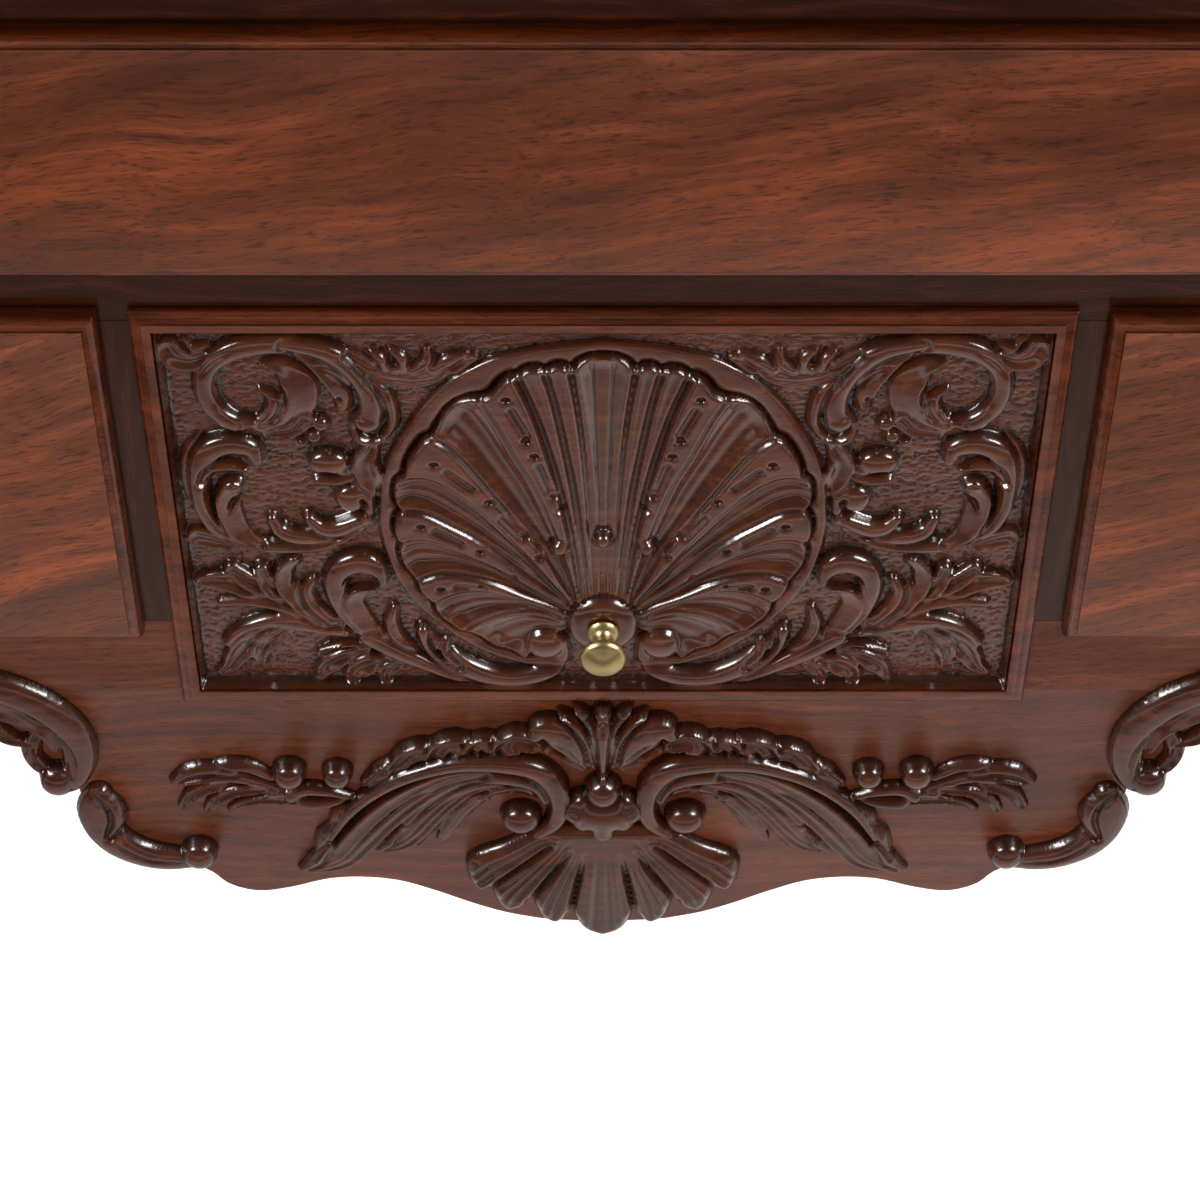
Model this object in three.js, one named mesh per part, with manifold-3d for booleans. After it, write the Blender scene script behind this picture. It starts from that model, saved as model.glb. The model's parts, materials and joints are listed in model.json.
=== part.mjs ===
import * as THREE from 'three';
import { mergeVertices } from 'three/addons/utils/BufferGeometryUtils.js';
import Module from 'manifold-3d';

const wasm = await Module();
wasm.setup();

// Overall sizes, in millimetres
const overallHeight = 776;
const overallDepth = 541;
const topWidth = 914;
const jointGap = 0.3;
const overrun = 5;

// Top board and the moulding under it
const topThickness = 19;
const topFrontOverhang = 26;
const topSideOverhang = 39;
const topBackOverhang = 30.5;
const topEdgeWidth = 9;
const topCornerNotch = 22;
const bedHeight = 16;
const bedReach = 13;
const bedFoot = 3;

// Front of the case
const topRailShow = 28.2;
const middleRailShow = 17.2;
const railThickness = 22;
const stileShow = 11;
const apronThickness = 20;
const apronDrop = 139;
const apronLevelRise = 3.6;
const stileFoot = 3;

// Drawers
const longDrawerHeight = 95.4;
const sideDrawerHeight = 152.9;
const shellDrawerHeight = 190.6;
const shellDrawerWidth = 330;
const lipProjection = 9.5;
const shellLipProjection = 5.5;
const lipOverlap = 5.8;
const lipEdgeShare = 0.36;
const lipRound = 4.2;
const lipFillet = 0.6;
const lipStep = 1;
const drawerFrontThickness = 18;
const drawerSideThickness = 11;
const drawerBottomThickness = 8;
const drawerBottomRise = 6;
const drawerClearance = 1.5;
const drawerHeadroom = 4;
const drawerBackRoom = 13.7;
const shelfThickness = 12;

// Corner posts, quarter columns and boards
const postWidth = 53;
const columnRebate = 31;
const columnHeadroom = 22;
const columnNeck = 3;
const columnGlue = 2;
const fluteDepth = 1.6;
const fluteCount = 4;
const columnBaseHeight = 26;
const sideBoardThickness = 16;
const sideBoardInset = 4;
const backBoardThickness = 14;
const backBoardInset = 4;
const kneeRise = 11;
const kneeBracketDrop = 55;

// Feet
const ballRadius = 35;
const ballHeight = 33;
const ballOffset = 9;
const talonReach = 37;
const talonRadius = 7;
const talonSpread = 75 * Math.PI / 180;

// Carving
const panelWidthShare = 1.533;
const panelHeightShare = 1.672;
const apronModuleShare = 3.647;
const panelBorder = 3.4;
const panelDepth = 6.5;
const panelSlope = 3.5;
const ringRadiusShare = 0.806;
const ringRiseShare = 0.915;
const bossRiseShare = 0.36;
const bossRadiusShare = 0.14;
const bossHeight = 7;
const shellRibs = 15;
const ringBand = 5.2;
const scallopDepth = 2.6;
const shellDip = 9 * Math.PI / 180;
const drawerLeafHeight = 6.4;
const apronLeafHeight = 9;
const apronShellReachShare = 0.74;
const apronShellTaperShare = 0.135;
const apronScallopShare = 0.066;
const apronHubShare = -0.73;
const apronShellSpread = 76 * Math.PI / 180;
const apronShellHeight = 9;

// Brass
const pullReach = 21;
const plateThickness = 1.8;
const pullSpan = 66;
const bailDrop = 26;
const bailRadius = 2.1;
const pullPostRadius = 5.2;
const pinHole = 2.7;
const pinWall = 1.5;
const plateHalf = 47;
const plateHeight = 46;
const pullAxisRise = 9;
const knobRadius = 8.7;
const knobLength = 19;

// Levels and faces worked out from the sizes above
const frontY = -overallDepth / 2 + pullReach + lipProjection;
const backY = overallDepth / 2 - topBackOverhang;
const caseDepth = backY - frontY;
const caseWidth = topWidth - 2 * topSideOverhang;
const faceY = frontY - lipProjection;
const shellFaceY = frontY - shellLipProjection;
const groundY = shellFaceY + panelDepth;
const topUnder = overallHeight - topThickness;
const longTop = topUnder - topRailShow;
const longBottom = longTop - longDrawerHeight;
const lowerTop = longBottom - middleRailShow;
const sideBottom = lowerTop - sideDrawerHeight;
const shellBottom = lowerTop - shellDrawerHeight;
const apronLevel = shellBottom + apronLevelRise;
const kneeTop = apronLevel + kneeRise;
const caseHalf = caseWidth / 2;
const caseMidY = (frontY + backY) / 2;
const postInner = caseHalf - postWidth;
const shellHalf = shellDrawerWidth / 2;
const shellOpening = shellHalf - lipOverlap;
const sideOpening = shellHalf + stileShow + lipOverlap;
const longOpening = postInner;

// Materials
const mahogany = new THREE.MeshStandardMaterial({ color: 0x6b3220, roughness: 0.32, metalness: 0 });
const carvedMahogany = new THREE.MeshStandardMaterial({ color: 0x4a2a1f, roughness: 0.28, metalness: 0 });
const poplar = new THREE.MeshStandardMaterial({ color: 0xb08a5c, roughness: 0.7, metalness: 0 });
const brass = new THREE.MeshStandardMaterial({ color: 0xb8a066, roughness: 0.3, metalness: 1 });

const lowboy = new THREE.Group();

// Geometry helpers

function weld(geometry) {
  geometry.deleteAttribute('normal');
  geometry.deleteAttribute('uv');
  return mergeVertices(geometry);
}

function add(name, geometry, material) {
  const bare = weld(geometry);
  bare.computeVertexNormals();
  const mesh = new THREE.Mesh(bare, material);
  mesh.name = name;
  lowboy.add(mesh);
}

function geometryFrom(points, faces) {
  const geometry = new THREE.BufferGeometry();
  geometry.setAttribute('position', new THREE.Float32BufferAttribute(points.flat(), 3));
  let volume = 0;
  for (const [a, b, c] of faces) {
    const u = new THREE.Vector3(...points[a]);
    const v = new THREE.Vector3(...points[b]);
    const w = new THREE.Vector3(...points[c]);
    volume += u.dot(v.cross(w));
  }
  const outward = volume > 0 ? faces : faces.map(([a, b, c]) => [a, c, b]);
  geometry.setIndex(outward.flat());
  return geometry;
}

function flatTriangles(ring) {
  const first = new THREE.Vector3(...ring[0]);
  const normal = new THREE.Vector3();
  for (let i = 1; i < ring.length - 1; i += 1) {
    const u = new THREE.Vector3(...ring[i]).sub(first);
    const v = new THREE.Vector3(...ring[i + 1]).sub(first);
    normal.add(u.cross(v));
  }
  const size = normal.toArray().map(Math.abs);
  const drop = size.indexOf(Math.max(...size));
  const flat = ring.map((p) => new THREE.Vector2(...p.filter((_, axis) => axis !== drop)));
  const turned = THREE.ShapeUtils.isClockWise(flat);
  if (turned) flat.reverse();
  const last = ring.length - 1;
  const triangles = THREE.ShapeUtils.triangulateShape(flat, []);
  return turned ? triangles.map((t) => t.map((i) => last - i).reverse()) : triangles;
}

function orientedCap(ring, offset, like) {
  const triangles = flatTriangles(ring);
  const edges = new Set(triangles.flatMap(([a, b, c]) => [`${a},${b}`, `${b},${c}`, `${c},${a}`]));
  const forward = edges.has('0,1');
  const flip = forward !== like;
  return triangles.map(([a, b, c]) => (flip ? [a, c, b] : [a, b, c]).map((i) => i + offset));
}

function loft(rings) {
  const count = rings[0].length;
  const faces = [];
  for (let r = 0; r < rings.length - 1; r += 1) {
    for (let i = 0; i < count; i += 1) {
      const a = r * count + i;
      const b = r * count + (i + 1) % count;
      faces.push([a, b, a + count]);
      faces.push([b, b + count, a + count]);
    }
  }
  const lastOffset = (rings.length - 1) * count;
  faces.push(...orientedCap(rings[0], 0, false));
  faces.push(...orientedCap(rings[rings.length - 1], lastOffset, true));
  return geometryFrom(rings.flat(), faces);
}

function block([x0, x1], [y0, y1], [z0, z1]) {
  const geometry = new THREE.BoxGeometry(x1 - x0, y1 - y0, z1 - z0);
  geometry.translate((x0 + x1) / 2, (y0 + y1) / 2, (z0 + z1) / 2);
  return geometry;
}

function boardAcross(outline, y0, y1) {
  const shape = new THREE.Shape(outline.map(([x, z]) => new THREE.Vector2(x, z)));
  const geometry = new THREE.ExtrudeGeometry(shape, { depth: y1 - y0, bevelEnabled: false });
  geometry.rotateX(Math.PI / 2);
  geometry.translate(0, y1, 0);
  return geometry;
}

function boardAlong(outline, x0, x1) {
  const shape = new THREE.Shape(outline.map(([y, z]) => new THREE.Vector2(y, z)));
  const geometry = new THREE.ExtrudeGeometry(shape, { depth: x1 - x0, bevelEnabled: false });
  geometry.rotateX(Math.PI / 2);
  geometry.rotateZ(Math.PI / 2);
  geometry.translate(x0, 0, 0);
  return geometry;
}

function solid(geometry) {
  const bare = weld(geometry);
  const mesh = new wasm.Mesh({
    numProp: 3,
    vertProperties: new Float32Array(bare.getAttribute('position').array),
    triVerts: new Uint32Array(bare.getIndex().array),
  });
  return new wasm.Manifold(mesh);
}

function geometryOf(manifold) {
  const mesh = manifold.getMesh();
  const geometry = new THREE.BufferGeometry();
  geometry.setAttribute('position', new THREE.BufferAttribute(new Float32Array(mesh.vertProperties), 3));
  geometry.setIndex(new THREE.BufferAttribute(new Uint32Array(mesh.triVerts), 1));
  return geometry;
}

function join(geometries) {
  return geometryOf(geometries.map(solid).reduce((whole, next) => whole.add(next)));
}

function mirrored(points, side) {
  return points.map(([x, ...rest]) => [x * side, ...rest]);
}

function smoothLine(points, steps) {
  const curve = new THREE.CatmullRomCurve3(points.map(([a, b]) => new THREE.Vector3(a, b, 0)), false, 'centripetal');
  return curve.getPoints(steps).map((p) => [p.x, p.y]);
}

// Top board: a moulded edge on three sides and notched front corners

function topOutline(inset) {
  const half = topWidth / 2 - inset;
  const front = frontY - topFrontOverhang + inset;
  const corner = [];
  const turns = 4;
  const roundShare = 0.65;
  for (let i = 0; i <= turns; i += 1) {
    const angle = (i / turns) * Math.PI / 2;
    const r = topCornerNotch * roundShare;
    corner.push([half - topCornerNotch + r * Math.cos(angle), front + topCornerNotch - r * Math.sin(angle)]);
  }
  const right = [[half, overallDepth / 2], [half, front + topCornerNotch], ...corner, [half - topCornerNotch, front]];
  return [...right, ...mirrored(right, -1).reverse()];
}

const topEdgeShares = [[1, 0], [0.45, 0.14], [0.12, 0.36], [0, 0.58], [0, 0.74], [0.2, 0.78], [0.34, 0.9], [0.8, 1]];
add('top_board', loft(topEdgeShares.map(([insetShare, heightShare]) => {
  const z = topUnder + topThickness * heightShare;
  return topOutline(topEdgeWidth * insetShare).map(([x, y]) => [x, y, z]);
})), mahogany);

const bedShares = [[0, 0], [0, 1], [1, 1], [1, 0.84], [0.78, 0.78], [0.42, 0.55], [0.12, 0.3], [0.1, 0.12], [0, 0.12]];
const bedProfile = bedShares.map(([reachShare, heightShare], i) => {
  const reach = i < 2 ? jointGap : bedFoot + (bedReach - bedFoot) * reachShare;
  return [reach, topUnder - jointGap - bedHeight * (1 - heightShare)];
});
const bedStations = [[-caseHalf, backY, -1, 0], [-caseHalf, frontY, -1, -1], [caseHalf, frontY, 1, -1], [caseHalf, backY, 1, 0]];
add('top_moulding', loft(bedStations.map(([x, y, outX, outY]) => (
  bedProfile.map(([reach, z]) => [x + outX * reach, y + outY * reach, z])
))), mahogany);

// Boards and rails

const railTop = topUnder - jointGap;
const railEnd = postInner - jointGap;
const topRailFoot = longTop - lipOverlap;
const middleRailTop = longBottom + lipOverlap;
const middleRailFoot = lowerTop - lipOverlap;
const sideFloor = sideBottom + lipOverlap;
const shellFloor = shellBottom + lipOverlap;
const railY = [frontY, frontY + railThickness];
add('front_top_rail', block([-railEnd, railEnd], railY, [topRailFoot, railTop]), mahogany);
add('front_middle_rail', block([-railEnd, railEnd], railY, [middleRailFoot, middleRailTop]), mahogany);
for (const [name, side] of [['left', -1], ['right', 1]]) {
  const ends = [side * shellOpening, side * sideOpening].sort((a, b) => a - b);
  const rise = [sideFloor - stileFoot + jointGap, middleRailFoot - jointGap];
  add(`${name}_drawer_stile`, block(ends, railY, rise), mahogany);
}

// Front apron: stepped along its top for the drawers, cut to a scrolled outline below

const apronEdgeShares = [
  [0, -1], [0.22, -0.985], [0.43, -0.935], [0.56, -0.903], [0.7, -0.845], [0.85, -0.799], [1, -0.784],
  [1.15, -0.795], [1.3, -0.835], [1.42, -0.853], [1.52, -0.838], [1.6, -0.791], [1.65, -0.734], [1.78, -0.741],
  [1.92, -0.734], [2.04, -0.683], [2.12, -0.597], [2.14, -0.489], [2.12, -0.417], [2.2, -0.388], [2.22, -0.288],
  [2.3, -0.201], [2.45, -0.101], [2.7, -0.022], [2.95, -0.014], [3.2, -0.086], [3.42, -0.23],
];
const apronModule = railEnd / apronModuleShare;
const apronEdge = apronEdgeShares.map(([x, z]) => [
  x * apronModule,
  apronLevel + z * apronDrop,
]);
const apronHalf = [
  ...apronEdge,
  [railEnd, kneeTop - kneeBracketDrop],
  [railEnd, sideFloor],
  [sideOpening, sideFloor],
  [sideOpening, sideFloor - stileFoot],
  [shellOpening, sideFloor - stileFoot],
  [shellOpening, shellFloor],
];
const apronOutline = [...apronHalf, ...mirrored(apronHalf.slice(1), -1).reverse()];
add('front_apron', boardAcross(apronOutline, frontY, frontY + apronThickness), mahogany);

// Side boards with a shaped lower edge, and the back board

const sideSpan = caseDepth / 2 - postWidth - jointGap;
const sideEdgeShares = [[1, -0.9], [0.9, -0.5], [0.72, -0.08], [0.5, 0.05], [0.32, -0.02], [0.2, -0.2], [0.1, -0.42], [0, -0.5]];
const sideEdgeHalf = smoothLine(sideEdgeShares, 20).map(([y, z]) => [
  y * sideSpan,
  kneeTop + z * kneeBracketDrop,
]);
const sideOutline = [
  ...sideEdgeHalf,
  ...mirrored(sideEdgeHalf.slice(0, -1), -1).reverse(),
  [-sideSpan, railTop],
  [sideSpan, railTop],
].map(([y, z]) => [caseMidY + y, z]);
const sideBoardOut = caseHalf - sideBoardInset;
const sideBoardIn = sideBoardOut - sideBoardThickness;
add('left_side_board', boardAlong(sideOutline, -sideBoardOut, -sideBoardIn), mahogany);
add('right_side_board', boardAlong(sideOutline, sideBoardIn, sideBoardOut), mahogany);
const backBoardY = [backY - backBoardInset - backBoardThickness, backY - backBoardInset];
add('back_board', block([-railEnd, railEnd], backBoardY, [kneeTop - backBoardThickness, railTop]), poplar);

// Shelves that the drawers run on

const shelfFront = frontY + railThickness + jointGap;
const shelfY = [shelfFront, backBoardY[0] - jointGap];
const shelves = [
  ['long_drawer_shelf', -railEnd, railEnd, middleRailTop],
  ['left_drawer_shelf', -railEnd, -sideOpening, sideFloor],
  ['right_drawer_shelf', sideOpening, railEnd, sideFloor],
  ['shell_drawer_shelf', -shellOpening, shellOpening, shellFloor],
];
for (const [name, x0, x1, top] of shelves) {
  add(name, block([x0, x1], shelfY, [top - shelfThickness, top]), poplar);
}

// Legs: each corner post runs down into its cabriole leg and claw-and-ball foot

const postCentreX = caseHalf - postWidth / 2;
const postHalf = postWidth / 2;
const postCentreY = caseDepth / 2 - postHalf;
const legShares = [
  [1.012, 0, 1, 0.02], [1, 0, 1, 0.02], [0.955, 0.226, 1.226, 0.3], [0.91, 0.377, 1.377, 0.36], [0.865, 0.453, 1.41, 0.42],
  [0.795, 0.49, 1.28, 0.5], [0.705, 0.434, 1.09, 0.6], [0.614, 0.302, 0.96, 0.7], [0.523, 0.15, 0.85, 0.8],
  [0.432, 0.02, 0.755, 0.9], [0.34, -0.075, 0.68, 0.96], [0.26, -0.075, 0.634, 1], [0.205, 0, 0.64, 1], [0.16, 0.12, 0.75, 1],
  [0.125, 0.226, 0.86, 1],
];

function roundedSquare(half, round) {
  const points = [];
  const steps = 2;
  const flat = half - round;
  for (let corner = 0; corner < 4; corner += 1) {
    const start = corner * Math.PI / 2;
    const cx = flat * Math.sign(Math.cos(start + Math.PI / 4));
    const cy = flat * Math.sign(Math.sin(start + Math.PI / 4));
    for (let i = 0; i <= steps; i += 1) {
      const angle = start + (i / steps) * Math.PI / 2;
      points.push([cx + round * Math.cos(angle), cy + round * Math.sin(angle)]);
    }
  }
  return points;
}

const talonPathShares = [[0.35, 2.35], [0.54, 1.95], [0.9, 1.42], [1.02, 0.88], [0.92, 0.36], [0.8, 0.04]];
const talonSizeShares = [0.85, 1, 1.02, 0.95, 0.7, 0.4];

function talon(angle) {
  const sides = 5;
  const rings = talonPathShares.map(([outShare, riseShare], i) => {
    const before = talonPathShares[Math.max(i - 1, 0)];
    const after = talonPathShares[Math.min(i + 1, talonPathShares.length - 1)];
    const run = new THREE.Vector2(after[0] - before[0], after[1] - before[1]).normalize();
    const radius = talonRadius * talonSizeShares[i];
    return Array.from({ length: sides }, (_, k) => {
      const turn = (k / sides) * 2 * Math.PI;
      const across = radius * Math.cos(turn);
      const out = talonReach * outShare - run.y * radius * Math.sin(turn);
      const z = ballHeight * riseShare + run.x * radius * Math.sin(turn);
      return [
        out * Math.cos(angle) - across * Math.sin(angle),
        out * Math.sin(angle) + across * Math.cos(angle),
        z,
      ];
    });
  });
  return loft(rings);
}

function legGeometry(hasColumn) {
  const rings = legShares.map(([levelShare, outShare, sizeShare, roundShare]) => {
    const half = postHalf * sizeShare;
    const out = postHalf * outShare;
    return roundedSquare(half, half * roundShare).map(([x, y]) => [x + out, y + out, kneeTop * levelShare]);
  });
  const parts = [loft(rings)];
  const ball = new THREE.SphereGeometry(ballRadius, 12, 7);
  ball.rotateX(Math.PI / 2);
  ball.translate(ballOffset, ballOffset, ballHeight);
  parts.push(ball);
  for (const turn of [-talonSpread, 0, talonSpread, Math.PI]) {
    const claw = talon(Math.PI / 4 + turn);
    claw.translate(ballOffset, ballOffset, 0);
    parts.push(claw);
  }
  const post = [[-postHalf, -postHalf], [postHalf, -postHalf], [postHalf, postHalf], [-postHalf, postHalf]];
  parts.push(loft([kneeTop, railTop].map((z) => post.map(([x, y]) => [x, y, z]))));
  let leg = parts.map(solid).reduce((whole, next) => whole.add(next));
  const reach = postWidth * 2;
  const ground = block([-reach, reach], [-reach, reach], [-reach, 0]);
  leg = leg.subtract(solid(ground));
  if (hasColumn) {
    const rebateStart = postHalf - columnRebate;
    const rebate = block(
      [rebateStart, postHalf + overrun],
      [rebateStart, postHalf + overrun],
      [columnFoot, columnTop],
    );
    leg = leg.subtract(solid(rebate));
  }
  return geometryOf(leg);
}

const columnFoot = sideBottom;
const columnTop = topUnder - jointGap - columnHeadroom;
const legPlaces = [['front_left', -1, -1], ['front_right', 1, -1], ['back_left', -1, 1], ['back_right', 1, 1]];
for (const [name, sideX, sideY] of legPlaces) {
  const geometry = legGeometry(sideY < 0);
  geometry.scale(sideX, sideY, 1);
  if (sideX * sideY < 0) {
    const turned = Array.from(geometry.getIndex().array);
    for (let i = 0; i < turned.length; i += 3) {
      [turned[i + 1], turned[i + 2]] = [turned[i + 2], turned[i + 1]];
    }
    geometry.setIndex(turned);
  }
  geometry.translate(sideX * postCentreX, caseMidY + sideY * postCentreY, 0);
  add(`${name}_leg`, geometry, mahogany);
}

// Fluted quarter columns in the rebates of the front posts

const columnRadius = columnRebate - jointGap;
const columnShares = [
  [0, 0, 0, 0], [0.35, 0, 0, 0], [0.4, 0.3, 0, 0], [0.62, 0, 0, 0], [0.8, 0.7, 0, 0], [1, 1, 0, 0], [1.06, 1, 1, 0],
  [-1.06, 1, 1, 1], [-1, 1, 0, 1], [-0.8, 0.7, 0, 1], [-0.62, 0, 0, 1], [-0.4, 0.3, 0, 1], [-0.35, 0, 0, 1], [0, 0, 0, 1],
];
const columnMargin = columnGlue / columnRadius;
function columnRing([riseShare, waistShare, fluted, fromTop]) {
  const level = (fromTop ? columnTop - jointGap : columnFoot + jointGap) + riseShare * columnBaseHeight;
  const ring = [[jointGap, jointGap, level]];
  const steps = fluteCount * 4;
  for (let i = 0; i <= steps; i += 1) {
    const angle = columnMargin + (i / steps) * (Math.PI / 2 - 2 * columnMargin);
    const hollow = fluted * fluteDepth * Math.sin((i / steps) * fluteCount * Math.PI) ** 2;
    const radius = columnRadius - waistShare * columnNeck - hollow;
    ring.push([radius * Math.cos(angle), radius * Math.sin(angle), level]);
  }
  return ring;
}
const columnGeometry = (side) => {
  const cornerX = side * (caseHalf - columnRebate);
  const cornerY = frontY + columnRebate;
  return loft(columnShares.map((row) => columnRing(row).map(([x, y, z]) => [
    cornerX + side * x,
    cornerY - y,
    z,
  ])));
};
add('left_quarter_column', columnGeometry(-1), mahogany);
add('right_quarter_column', columnGeometry(1), mahogany);

// Drawers: a lipped front, two sides, a back and a bottom each

function rectangleRing(centreX, halfWidth, low, high, y) {
  return [
    [centreX - halfWidth, y, low],
    [centreX + halfWidth, y, low],
    [centreX + halfWidth, y, high],
    [centreX - halfWidth, y, high],
  ];
}

function drawerFront({ centre, halfWidth, low, high, projection, sunk }) {
  const fit = lipOverlap + drawerClearance;
  const seat = frontY - jointGap;
  const ring = (inset, y) => rectangleRing(centre, halfWidth - inset, low + inset, high - inset, y);
  const rings = [ring(fit, frontY + drawerFrontThickness), ring(fit, seat), ring(0, seat)];
  const roundSteps = 3;
  const face = frontY - projection;
  const edge = projection * lipEdgeShare;
  const roundDepth = projection - edge - lipStep;
  for (let i = 0; i <= roundSteps; i += 1) {
    const angle = (i / roundSteps) * Math.PI / 2;
    rings.push(ring(lipRound * (1 - Math.cos(angle)), frontY - edge - roundDepth * Math.sin(angle)));
  }
  const field = lipRound + lipFillet;
  rings.push(ring(field, face + lipStep), ring(field, face));
  if (sunk) {
    rings.push(ring(field + panelBorder, face), ring(field + panelBorder + panelSlope, groundY));
  }
  return loft(rings);
}

function drawer(name, { centre, halfWidth, low, high, floor, projection = lipProjection, sunk = false }) {
  add(`${name}_drawer_front`, drawerFront({ centre, halfWidth, low, high, projection, sunk }), mahogany);
  const outer = halfWidth - lipOverlap - drawerClearance;
  const inner = outer - drawerSideThickness;
  const base = floor + jointGap;
  const top = high - lipOverlap - drawerHeadroom;
  const boxFront = frontY + drawerFrontThickness + jointGap;
  const boxBack = backBoardY[0] - drawerBackRoom;
  const backFront = boxBack - drawerSideThickness;
  const bottomLow = base + drawerBottomRise;
  const bottomHigh = bottomLow + drawerBottomThickness;
  add(`${name}_drawer_left_side`, block([centre - outer, centre - inner], [boxFront, boxBack], [base, top]), poplar);
  add(`${name}_drawer_right_side`, block([centre + inner, centre + outer], [boxFront, boxBack], [base, top]), poplar);
  const within = [centre - inner + jointGap, centre + inner - jointGap];
  add(`${name}_drawer_back`, block(within, [backFront, boxBack], [bottomHigh + jointGap, top]), poplar);
  add(`${name}_drawer_bottom`, block(within, [boxFront, boxBack], [bottomLow, bottomHigh]), poplar);
}

const sideLipInner = sideOpening - lipOverlap;
const sideLipOuter = longOpening + lipOverlap;
const sideCentre = (sideLipInner + sideLipOuter) / 2;
const sideHalf = (sideLipOuter - sideLipInner) / 2;
drawer('long', { centre: 0, halfWidth: sideLipOuter, low: longBottom, high: longTop, floor: middleRailTop });
drawer('left', { centre: -sideCentre, halfWidth: sideHalf, low: sideBottom, high: lowerTop, floor: sideFloor });
drawer('right', { centre: sideCentre, halfWidth: sideHalf, low: sideBottom, high: lowerTop, floor: sideFloor });
drawer('shell', {
  centre: 0,
  halfWidth: shellHalf,
  low: shellBottom,
  high: lowerTop,
  floor: shellFloor,
  projection: shellLipProjection,
  sunk: true,
});

// Carving: reliefs on a grid, and leaves and scrolls swept along their stems

function relief(rows, baseY) {
  const columns = rows[0].length;
  const points = rows.flat().map(([x, z, height]) => [x, baseY - height, z]);
  const faces = [];
  for (let r = 0; r < rows.length - 1; r += 1) {
    for (let c = 0; c < columns - 1; c += 1) {
      const a = r * columns + c;
      faces.push([a, a + 1, a + columns], [a + 1, a + columns + 1, a + columns]);
    }
  }
  const rim = [];
  for (let c = 0; c < columns; c += 1) rim.push(c);
  for (let r = 1; r < rows.length; r += 1) rim.push(r * columns + columns - 1);
  for (let c = columns - 2; c >= 0; c -= 1) rim.push((rows.length - 1) * columns + c);
  for (let r = rows.length - 2; r > 0; r -= 1) rim.push(r * columns);
  const offset = points.length;
  rim.forEach((index) => points.push([points[index][0], baseY, points[index][2]]));
  rim.forEach((index, i) => {
    const next = (i + 1) % rim.length;
    faces.push([index, offset + i, rim[next]], [rim[next], offset + i, offset + next]);
  });
  faces.push(...orientedCap(points.slice(offset), offset, false));
  return geometryFrom(points, faces);
}

const stemSectionShares = [[-1, 0], [-0.5, 0.9], [0.5, 0.9], [1, 0]];

function stem(points, widths, heights, { base, low, module }, steps) {
  const line = smoothLine(points, steps);
  const pick = (values, share) => {
    const place = share * (values.length - 1);
    const index = Math.min(Math.floor(place), values.length - 2);
    return values[index] + (values[index + 1] - values[index]) * (place - index);
  };
  const rings = line.map(([x, z], i) => {
    const before = line[Math.max(i - 1, 0)];
    const after = line[Math.min(i + 1, line.length - 1)];
    const run = new THREE.Vector2(after[0] - before[0], after[1] - before[1]).normalize();
    const half = pick(widths, i / steps);
    const height = pick(heights, i / steps);
    return stemSectionShares.map(([across, up]) => [
      (x - run.y * across * half) * module,
      base - up * height * module,
      low + (z + run.x * across * half) * module,
    ]);
  });
  return loft(rings);
}

const domeShares = [[1, 0], [0.9, 0.5], [0.6, 0.85], [0.2, 1]];

function dome([x, z], [wide, tall], height, { base, low, module }) {
  const sides = 10;
  const ring = (size, up) => Array.from({ length: sides }, (_, i) => {
    const angle = (i / sides) * 2 * Math.PI;
    return [
      (x + wide * size * Math.cos(angle)) * module,
      base - height * up * module,
      low + (z + tall * size * Math.sin(angle)) * module,
    ];
  });
  return loft(domeShares.map(([size, up]) => ring(size, up)));
}

function carving(name, build) {
  for (const [prefix, side] of [['left', -1], ['right', 1]]) {
    add(`${prefix}_${name}`, join(build(side)), carvedMahogany);
  }
}

// Shell drawer: fluted shell fanning from a boss inside a raised ring

const carvedY = groundY - jointGap;
const panelInset = lipRound + lipFillet + panelBorder + panelSlope;
const carvingModule = Math.min(
  (shellHalf - panelInset) / panelWidthShare,
  (shellDrawerHeight - 2 * panelInset) / panelHeightShare,
);
const panelLow = shellBottom + lipRound + lipFillet;
const bossRadius = bossRadiusShare * carvingModule;
const ringRadius = ringRadiusShare * carvingModule;
const bossZ = panelLow + bossRiseShare * carvingModule;
const ringZ = panelLow + ringRiseShare * carvingModule;

function toRing(angle) {
  const up = Math.sin(angle);
  const drop = bossZ - ringZ;
  return -up * drop + Math.sqrt((up * drop) ** 2 - drop * drop + ringRadius * ringRadius);
}

const shellBodyShares = [[0, 0.56, 0.12], [0.5, 0.5, 0.26], [0.94, 0.5, 0.26], [1, 0.12, 0]];
const shellRingShares = [[1, 0.12], [0.85, 0.88], [0.15, 0.88], [0, 0.1]];

function shellRelief() {
  const steps = shellRibs * 3;
  const rows = [];
  for (let i = 0; i <= steps; i += 1) {
    const angle = -shellDip + (i / steps) * (Math.PI + 2 * shellDip);
    const wave = Math.cos((i / steps) * shellRibs * 2 * Math.PI);
    const reach = toRing(angle);
    const lobe = reach - ringBand * 2 - scallopDepth * wave;
    const start = bossRadius - scallopDepth / 2;
    const body = shellBodyShares.map(([share, level, flute]) => [start + (lobe - start) * share, level - flute * wave]);
    const band = shellRingShares.map(([share, level]) => [reach - ringBand * share, level]);
    rows.push([...body, ...band].map(([r, level]) => [
      r * Math.cos(angle),
      bossZ + r * Math.sin(angle),
      bossHeight * level,
    ]));
  }
  return rows;
}

const boss = new THREE.CylinderGeometry(bossRadius, bossRadius, bossHeight, 24);
boss.translate(0, bossHeight / 2, 0);
boss.rotateX(Math.PI);
boss.translate(0, carvedY, bossZ);
add('carved_shell', join([relief(shellRelief(), carvedY), boss]), carvedMahogany);

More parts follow.
